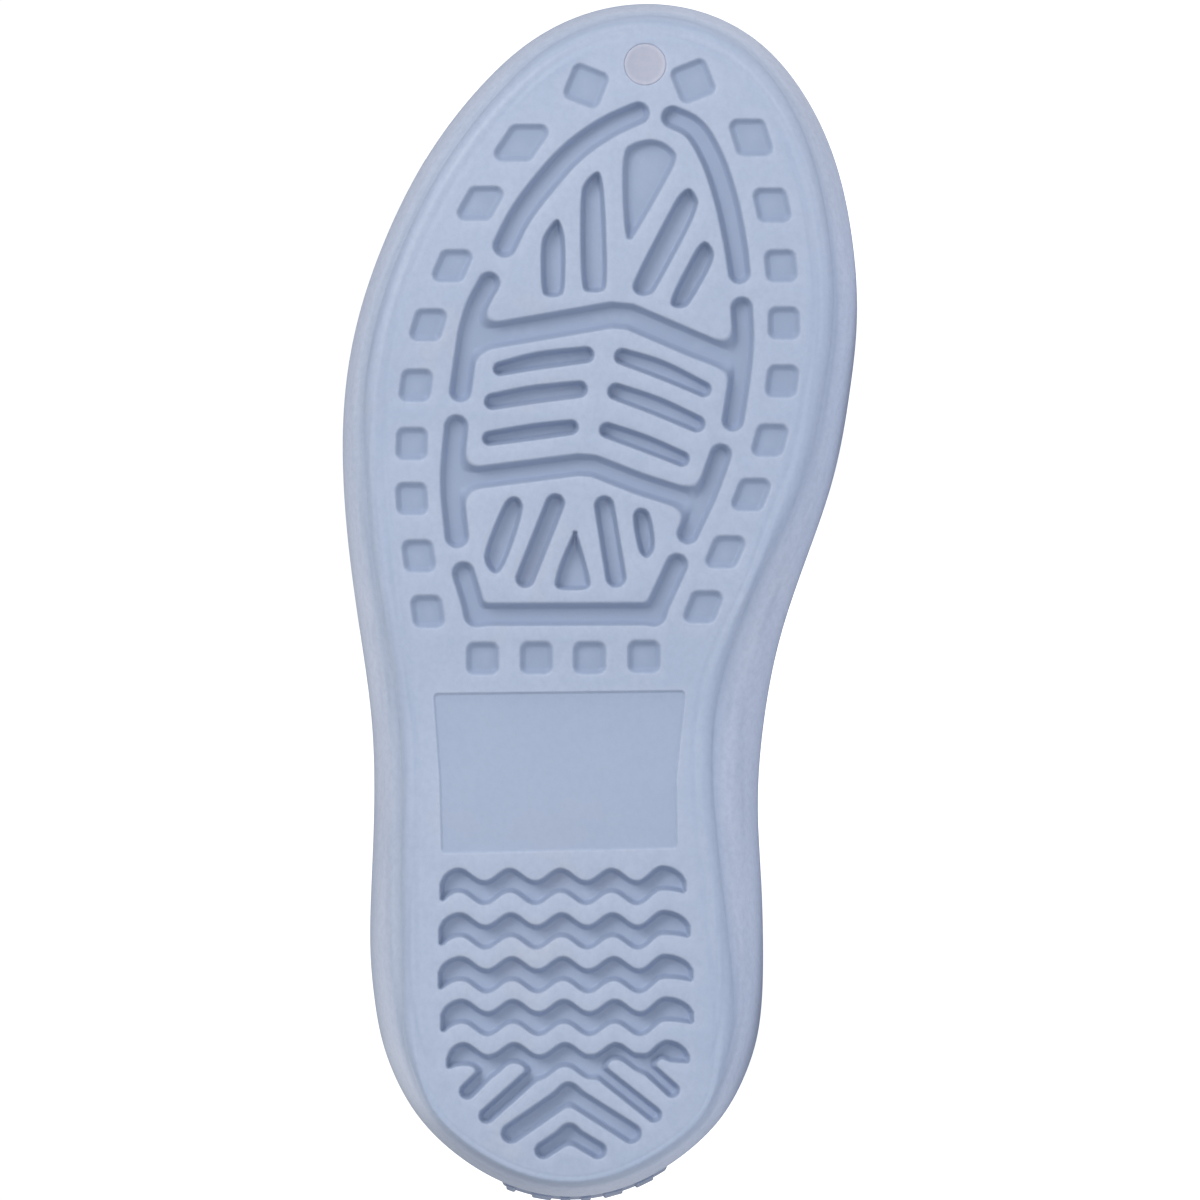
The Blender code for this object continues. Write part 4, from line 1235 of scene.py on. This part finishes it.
def foam_skin():
    tree = bpy.data.node_groups.new("Foam skin", "ShaderNodeTree")
    sockets(tree, "INPUT", (
        ("Colour", "Color", (0.40, 0.48, 0.64, 1)),
        ("Pale colour", "Color", (0.50, 0.56, 0.68, 1)),
        ("Warm colour", "Color", (0.50, 0.49, 0.57, 1)),
        ("Mottle", "Float", 0.25),
        ("Smudges", "Float", 0.25),
        # The edge mask and its strength paint a highlight along lips and rims.
        ("Pale edges", "Float", 0.3),
        ("Edge mask", "Float", 0.0),
        # Painted shade in the hollows takes this colour, and so does the foam's own fine speckle.
        ("Shade colour", "Color", (0.30, 0.37, 0.52, 1)),
        ("Shade mask", "Float", 0.0),
        # A pale painted sheen up the sole's side, where the light grazes it.
        ("Bloom colour", "Color", (0.70, 0.755, 0.91, 1)),
        ("Bloom mask", "Float", 0.0),
        ("Speckle", "Float", 0.22),
        ("Roughness", "Float", 0.5),
        ("Grain size", "Float", 1900.0)))
    sockets(tree, "OUTPUT", (("Colour", "Color"), ("Roughness", "Float"), ("Height", "Float")))
    given = add(tree, "NodeGroupInput").outputs
    place = add(tree, "ShaderNodeTexCoord").outputs["Object"]
    broad = noise(tree, place, 26.0, 3.0)
    patchy = noise(tree, place, 120.0, 4.0, 0.6)
    cloudy = plus(tree, times(tree, between(tree, broad, 0.32, 0.68), 0.6),
                  times(tree, between(tree, patchy, 0.3, 0.7), 0.4))
    pale_share = times(tree, cloudy, given["Mottle"])
    smudge = times(tree, between(tree, noise(tree, place, 34.0, 5.0, 0.62), 0.55, 0.72), given["Smudges"])
    # Painted highlight along lips and rims.
    edge = times(tree, given["Edge mask"], given["Pale edges"])
    edge = times(tree, edge, between(tree, patchy, 0.2, 0.7, 0.55, 1.0))
    # Painted sheen up the side.
    painted_sheen = times(tree, given["Bloom mask"], between(tree, patchy, 0.25, 0.7, 0.86, 1.0))
    speck = times(tree, between(tree, noise(tree, place, 900.0, 3.0, 0.7), 0.35, 0.7), given["Speckle"])
    colour = given["Colour"]
    # Mottle, smudges and speckle are the foam's own; the edge layer is painted highlight, the side layer
    # painted sheen and the shade mask painted shade.
    layers = ((pale_share, "Pale colour"), (smudge, "Warm colour"), (edge, "Pale colour"),
              (painted_sheen, "Bloom colour"), (given["Shade mask"], "Shade colour"), (speck, "Shade colour"))
    for share, other in layers:
        colour = blend_colours(tree, share, colour, given[other])
    grain = noise(tree, place, given["Grain size"], 3.0, 0.55)
    rough = plus(tree, given["Roughness"], between(tree, grain, 0.3, 0.7, -0.04, 0.04))
    rough = plus(tree, rough, times(tree, smudge, 0.25))
    height = plus(tree, grain, times(tree, patchy, 1.4))
    add(tree, "NodeGroupOutput", {"Colour": colour, "Roughness": rough, "Height": height})
    return tree


FOAM_SKIN = foam_skin()
print("foam skin:", len(FOAM_SKIN.nodes), "nodes")


# %% Materials
def foam(name, colour, pale, warm, mottle, smudges, edge_highlight, roughness, grain, depth, masks=()):
    """A foam material: the shared skin with its own colours, grain and shader."""
    material = bpy.data.materials.new(name)
    material.use_nodes = True
    tree = material.node_tree
    skin = add(tree, "ShaderNodeGroup", node_tree=FOAM_SKIN)
    values = {"Colour": (*colour, 1), "Pale colour": (*pale, 1), "Warm colour": (*warm, 1), "Mottle": mottle,
              "Smudges": smudges, "Pale edges": edge_highlight, "Roughness": roughness, "Grain size": grain}
    for socket, value in values.items():
        skin.inputs[socket].default_value = value
    for attribute, socket in masks:
        reader = add(tree, "ShaderNodeAttribute", attribute_name=attribute)
        tree.links.new(reader.outputs["Fac"], skin.inputs[socket])
    bump = add(tree, "ShaderNodeBump", {"Strength": 0.6, "Distance": depth, "Height": skin.outputs["Height"]})
    shader = tree.nodes["Principled BSDF"]
    tree.links.new(skin.outputs["Colour"], shader.inputs["Base Color"])
    tree.links.new(skin.outputs["Roughness"], shader.inputs["Roughness"])
    tree.links.new(bump.outputs["Normal"], shader.inputs["Normal"])
    shader.inputs["Specular IOR Level"].default_value = 0.35
    return material


# Colour, pale colour for mottle and painted highlights, warm colour, mottle, smudges, strength of the painted
# edge highlight, roughness, grain size, bump depth, masks.
SOLE_FOAM = foam("sole_foam", (0.402, 0.482, 0.640), (0.500, 0.560, 0.700), (0.500, 0.490, 0.560),
                 0.30, 0.30, 0.5, 0.50, 1900.0, 0.00005,
                 (("lip", "Edge mask"), ("hollow", "Shade mask"), ("painted_sheen", "Bloom mask")))
# The upper's rim mask paints a highlight along the collar's edge.
UPPER_FOAM = foam("upper_foam", (0.385, 0.462, 0.630), (0.470, 0.530, 0.670), (0.480, 0.470, 0.540),
                  0.35, 0.25, 0.4, 0.46, 1500.0, 0.00007, (("rim", "Edge mask"),))
INSOLE_FOAM = foam("insole_foam", (0.352, 0.423, 0.580), (0.420, 0.480, 0.620), (0.400, 0.400, 0.470),
                   0.40, 0.30, 0.0, 0.80, 900.0, 0.00016)
# The heel kick is the sole's own foam, its colours drawn darker as painted shade.
SHADED_KICK_FOAM = foam("shaded_kick_foam", (0.275, 0.337, 0.490), (0.380, 0.440, 0.590), (0.400, 0.400, 0.480),
                 0.30, 0.25, 0.3, 0.55, 1900.0, 0.00006)
# The gate's rim mask paints a highlight round its raised rim.
GATE_FOAM = foam("gate_foam", (0.400, 0.425, 0.530), (0.560, 0.570, 0.680), (0.500, 0.470, 0.520),
                 0.40, 0.30, 0.6, 0.50, 1700.0, 0.00005, (("rim", "Edge mask"),))
print("materials:", [m.name for m in (SOLE_FOAM, UPPER_FOAM, INSOLE_FOAM, SHADED_KICK_FOAM, GATE_FOAM)])

# %% Ribs of the heel kick
# Place across, lower end and upper end as shares of the pad's height.
NARROW_RIBS = ((0.065, 0.03, 0.90), (0.385, 0.00, 0.96), (0.505, 0.00, 0.96))
WIDE_RIBS = ((0.245, 0.00, 0.96), (0.665, 0.00, 0.96), (0.850, 0.02, 0.93))
RIB_POINTS = 40
RIB_SHORTER = 0.02


def rib_lines(name, rows):
    """Lines over the pad as loose edges, each point with the wall's direction."""
    points, lifts, edges = [], [], []
    for across, low, high in rows:
        ups = np.linspace(low + RIB_SHORTER, high - RIB_SHORTER, RIB_POINTS)
        place, normal = kick_point(across, ups, GAP + KICK_THICKNESS)
        start = len(points) * RIB_POINTS
        edges += [(start + i, start + i + 1) for i in range(RIB_POINTS - 1)]
        points.append(place)
        lifts.append(normal @ LIE.T)
    mesh = bpy.data.meshes.new(name)
    mesh.from_pydata([tuple(p) for p in laid(np.concatenate(points))], edges, [])
    lift = mesh.attributes.new("lift", "FLOAT_VECTOR", "POINT")
    lift.data.foreach_set("vector", np.concatenate(lifts).ravel())
    return placed(name, mesh)


def made_by_nodes(piece, tree, values):
    """The evaluated result of a node tree as a plain mesh, the modifier removed."""
    modifier = piece.modifiers.new("nodes", "NODES")
    modifier.node_group = tree
    inputs = inputs_of(tree)
    for name, value in values.items():
        modifier[inputs[name]] = value
    depsgraph = bpy.context.evaluated_depsgraph_get()
    result = bpy.data.meshes.new_from_object(piece.evaluated_get(depsgraph))
    piece.modifiers.remove(modifier)
    piece.data = result
    finish_mesh(result)
    return piece


def ribs(name, rows, width, height, rounding):
    """Ribs of one width on the pad; the sizes are in metres."""
    values = {"Rib width": width, "Rib height": height, "Rounding": rounding, "Finish": SHADED_KICK_FOAM}
    return made_by_nodes(rib_lines(name, rows), RIB_TREE, values)


narrow_ribs = ribs("heel_kick_narrow_ribs", NARROW_RIBS, 0.0017, 0.0009, 0.00040)
wide_ribs = ribs("heel_kick_wide_ribs", WIDE_RIBS, 0.0034, 0.0007, 0.00032)
print("ribs:", len(narrow_ribs.data.polygons) + len(wide_ribs.data.polygons), "faces")

# %% [markdown]
# ## The gate mark
# Foam is shot into the mould through a round gate near the toe. It leaves a
# disc of a slightly warmer colour with a soft raised rim. It is turned on a
# lathe in the real mould, so here it is a profile spun round its axis.

# %% Gate plug
# Distance from the middle and height over the tread's surface, in mm.
GATE_PROFILE = ((0.0, 0.16), (1.2, 0.15), (2.2, 0.12), (2.8, 0.07), (3.1, 0.02), (3.35, 0.01), (3.52, 0.08),
                (3.58, 0.22), (3.58, 0.50), (3.5, 0.58), (3.3, 0.60), (1.6, 0.60), (0.0, 0.60))
GATE_AROUND = 72


def build_gate():
    centre = np.array(GATE_PLACE)
    slope = (bottom(centre[0] + 1) - bottom(centre[0] - 1)) / 2
    turns = np.arange(GATE_AROUND) * 2 * math.pi / GATE_AROUND
    profile = smooth(GATE_PROFILE, 2)
    points = [(0, 0, profile[0][1])]
    rings = profile[1:-1]
    for radius, up in rings:
        points += [(radius * math.cos(t), radius * math.sin(t), up) for t in turns]
    points.append((0, 0, profile[-1][1]))
    points = np.array(points)
    points[:, 2] += slope * points[:, 0]
    points += (centre[0], centre[1], bottom(centre[0]))
    faces = ring_faces(1, GATE_AROUND, len(rings))
    last = len(points) - 1
    for i in range(GATE_AROUND):
        j = (i + 1) % GATE_AROUND
        faces.append((0, 1 + j, 1 + i))
        faces.append((last, last - GATE_AROUND + i, last - GATE_AROUND + j))
    return new_piece("gate_mark", points, faces)


gate = build_gate()
print("gate mark:", len(gate.data.polygons), "faces")


# %% Masks that follow the shapes
# Soft lines of painted shade that run round the sole: mm in from its edge, half width, strength.
SHADE_STREAKS = ((1.6, 0.20, 0.16), (2.6, 0.25, 0.22), (3.5, 0.35, 0.34), (4.6, 0.20, 0.20),
           (5.5, 0.25, 0.16), (6.9, 0.35, 0.30), (7.8, 0.22, 0.16))
# A painted highlight along the ridge round the sole, strongest towards the toe's outer side, which faces the
# key light.
RIDGE_PLACE = 5.0
RIDGE_FACES = -0.6
RIDGE_HIGHLIGHT = 0.9
FLOOR_SHADE = 0.66
FOOT_SHADE = 0.28
# Strength of the painted sheen up the side.
SIDE_SHEEN = 0.5
TREAD_HEIGHT = 2.85
FOOT_MIDDLE = 100.0
RIM_STARTS = 121.5
GATE_RIM_STARTS = 2.7


def standing(piece):
    """A piece's points turned back to the standing boot, in mm."""
    flat = np.empty(len(piece.data.vertices) * 3)
    piece.data.vertices.foreach_get("co", flat)
    return (flat.reshape(-1, 3) / MM - HEEL_PLACE) @ LIE


def store(piece, name, values):
    attribute = piece.data.attributes.new(name, "FLOAT", "POINT")
    attribute.data.foreach_set("value", np.asarray(values, np.float32))


def hump(x, middle, width):
    """1 in the middle, soft towards 0 on both sides."""
    return np.exp(-((x - middle) / width) ** 2)


def tread_masks(piece):
    """Painted highlights on the hollows' lips and the ridge, painted shade in their floors, at their feet and
    in lines round the edge, and painted sheen up the side.
    """
    p = standing(piece)
    depth, gap = tread_depth(p[:, :2].copy())
    over = p[:, 2] - bottom(p[:, 0])
    on_tread = over < TREAD_HEIGHT
    # Painted highlight just outside each hollow's lip.
    lip_highlights = hump(gap, 0.12, 0.22) * on_tread
    # Painted shade on the hollows' floors and at the foot of their walls.
    floor_share = ramp(depth / 0.8) * (1 - 0.62 * ramp((depth - 2.2) / 0.4))
    foot = hump(gap, -0.95, 0.35) * ramp(depth / 0.9)
    shade = (FLOOR_SHADE * floor_share + FOOT_SHADE * foot) * on_tread
    edge = -to_polygon(p[:, :2], outline(ANGLES)[::4], 0.0)
    turn = np.arctan2(p[:, 1], p[:, 0] - FOOT_MIDDLE)
    # Painted shade in soft lines round the sole's edge.
    for place, width, share in SHADE_STREAKS:
        wander = 0.25 * np.sin(turn * 5 + place) + 0.12 * np.sin(turn * 17 + 3 * place)
        fade = 0.6 + 0.4 * np.sin(turn * 9 + 2 * place)
        shade += share * fade * hump(edge - wander, place, width) * (over < 7)
    # Painted highlight on the ridge, strongest on the side towards the key light.
    ridge = hump(edge, RIDGE_PLACE, 0.45) * (over < 3) * ramp(0.6 + 0.6 * np.cos(turn - RIDGE_FACES))
    lip_highlights = np.maximum(lip_highlights, RIDGE_HIGHLIGHT * ridge)
    # Painted sheen up the side, pale where light grazes it.
    painted_sheen = ramp((over - 1.0) / 2.5) * (1 - on_tread * ramp(-gap / 0.4))
    painted_sheen *= 1 - 0.6 * ramp((over - 7.0) / 9.0)
    return lip_highlights, np.clip(shade, 0, 1), painted_sheen * SIDE_SHEEN


for name, mask in zip(("lip", "hollow", "painted_sheen"), tread_masks(outsole)):
    store(outsole, name, mask)
# Painted highlight along the collar's rim.
store(upper, "rim", ramp((standing(upper)[:, 2] - RIM_STARTS) / 2.5))
# Painted highlight round the gate mark's raised rim.
gate_radii = np.linalg.norm(standing(gate)[:, :2] - GATE_PLACE, axis=1)
store(gate, "rim", ramp((gate_radii - GATE_RIM_STARTS) / 0.6))

for piece, material in ((outsole, SOLE_FOAM), (upper, UPPER_FOAM), (insole, INSOLE_FOAM),
                        (kick_pad, SHADED_KICK_FOAM), (gate, GATE_FOAM)):
    piece.data.materials.append(material)

# %% [markdown]
# ## Floor, camera and light
# The boot lies on a flat, pale studio floor that glows a little, so that it is
# white in the picture. The camera looks along the boot's own upright, from the
# tread side, and is rolled so that the toe points up. A long lens from far
# away keeps both edges of the sole in view as the photograph does.

# %% Floor
FLOOR_HALF = 9.0
FLOOR_GLOW = 0.21
FLOOR_WHITE = 0.95


def by_camera(tree, others, camera):
    """One value for the light's own paths and another one for what the camera sees."""
    seen = add(tree, "ShaderNodeLightPath").outputs["Is Camera Ray"]
    return between(tree, seen, 0.0, 1.0, others, camera)


def build_floor():
    """A pale table that glows a little, as under a product photograph."""
    corners = [(-1, -1), (1, -1), (1, 1), (-1, 1)]
    mesh = bpy.data.meshes.new("studio_floor")
    mesh.from_pydata([(x * FLOOR_HALF, y * FLOOR_HALF, 0.0) for x, y in corners], [], [(0, 1, 2, 3)])
    material = bpy.data.materials.new("pale_floor")
    material.use_nodes = True
    tree = material.node_tree
    shader = tree.nodes["Principled BSDF"]
    shader.inputs["Base Color"].default_value = (0.80, 0.80, 0.81, 1)
    shader.inputs["Roughness"].default_value = 0.9
    shader.inputs["Specular IOR Level"].default_value = 0.0
    shader.inputs["Emission Color"].default_value = (1, 1, 1, 1)
    tree.links.new(by_camera(tree, FLOOR_GLOW, FLOOR_WHITE), shader.inputs["Emission Strength"])
    mesh.materials.append(material)
    return placed("studio_floor", mesh)


floor = build_floor()
print("floor:", 2 * FLOOR_HALF, "m wide")

# %% Camera
CAMERA_AWAY = 3.5
CAMERA_LENS = 85.0
PHOTO_SPAN = 0.2056
LOOK_AT = laid((102.5, 5.47, 8.0))


def place_camera():
    data = bpy.data.cameras.new("camera")
    camera = placed("camera", data)
    toe, inner, up = LIE[:, 0], LIE[:, 1], LIE[:, 2]
    turn = Matrix((inner, toe, -up)).transposed()
    place = Vector(LOOK_AT - up * CAMERA_AWAY)
    camera.matrix_world = Matrix.Translation(place) @ turn.to_4x4()
    data.lens = CAMERA_LENS
    data.sensor_fit = "AUTO"
    data.sensor_width = PHOTO_SPAN / CAMERA_AWAY * CAMERA_LENS
    data.clip_end = 50
    bpy.context.scene.camera = camera
    return camera


camera = place_camera()
print("camera height over the floor: %.3f m" % camera.location.z)


# %% Light
LIT_PLACE = (0, 0, 0.04)
# Name, place, size, power in watts, colour.
SOFTBOXES = (
    ("key_softbox", (1.0, -1.5, 1.25), (1.0, 1.0), 26.0, (1.0, 0.985, 0.97)),
    ("front_softbox", (-0.5, -2.6, 0.6), (1.6, 1.2), 8.0, (0.97, 0.985, 1.0)),
    ("back_softbox", (-1.2, 1.9, 1.8), (1.4, 1.4), 16.0, (0.98, 0.99, 1.0)),
)
AIR_LIGHT = 0.30
AIR_WHITE = 1.05


def softbox(name, place, size, power, colour):
    data = bpy.data.lights.new(name, "AREA")
    data.shape = "RECTANGLE"
    data.size, data.size_y = size
    data.energy = power
    data.color = colour
    light = placed(name, data)
    light.location = place
    light.rotation_euler = (Vector(LIT_PLACE) - Vector(place)).to_track_quat("-Z", "Y").to_euler()


def studio_air():
    """Even light from all round, and plain white where the camera sees past the floor."""
    world = bpy.data.worlds.new("studio_air")
    world.use_nodes = True
    tree = world.node_tree
    shader = tree.nodes["Background"]
    shader.inputs["Color"].default_value = (0.98, 0.99, 1.0, 1)
    tree.links.new(by_camera(tree, AIR_LIGHT, AIR_WHITE), shader.inputs["Strength"])
    return world


for row in SOFTBOXES:
    softbox(*row)
bpy.context.scene.world = studio_air()
bpy.context.scene.view_settings.view_transform = "Standard"
print("lights:", [(row[0], row[3]) for row in SOFTBOXES])

# %% [markdown]
# ## Hand the pieces over
# Every piece rides on the boot's one body and stands for its solid, so the
# plain solids are hidden.

# %% Ride and replace
for piece, node, slot in ((outsole, "outsole", "sole_blue"), (upper, "upper", "upper_blue"),
                          (insole, "insole", "insole_blue"), (kick_pad, "heel_kick", "kick_blue"),
                          (gate, "gate_plug", "gate_lilac")):
    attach(piece, "root")
    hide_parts(node)
for piece in (narrow_ribs, wide_ribs):
    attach(piece, "root")
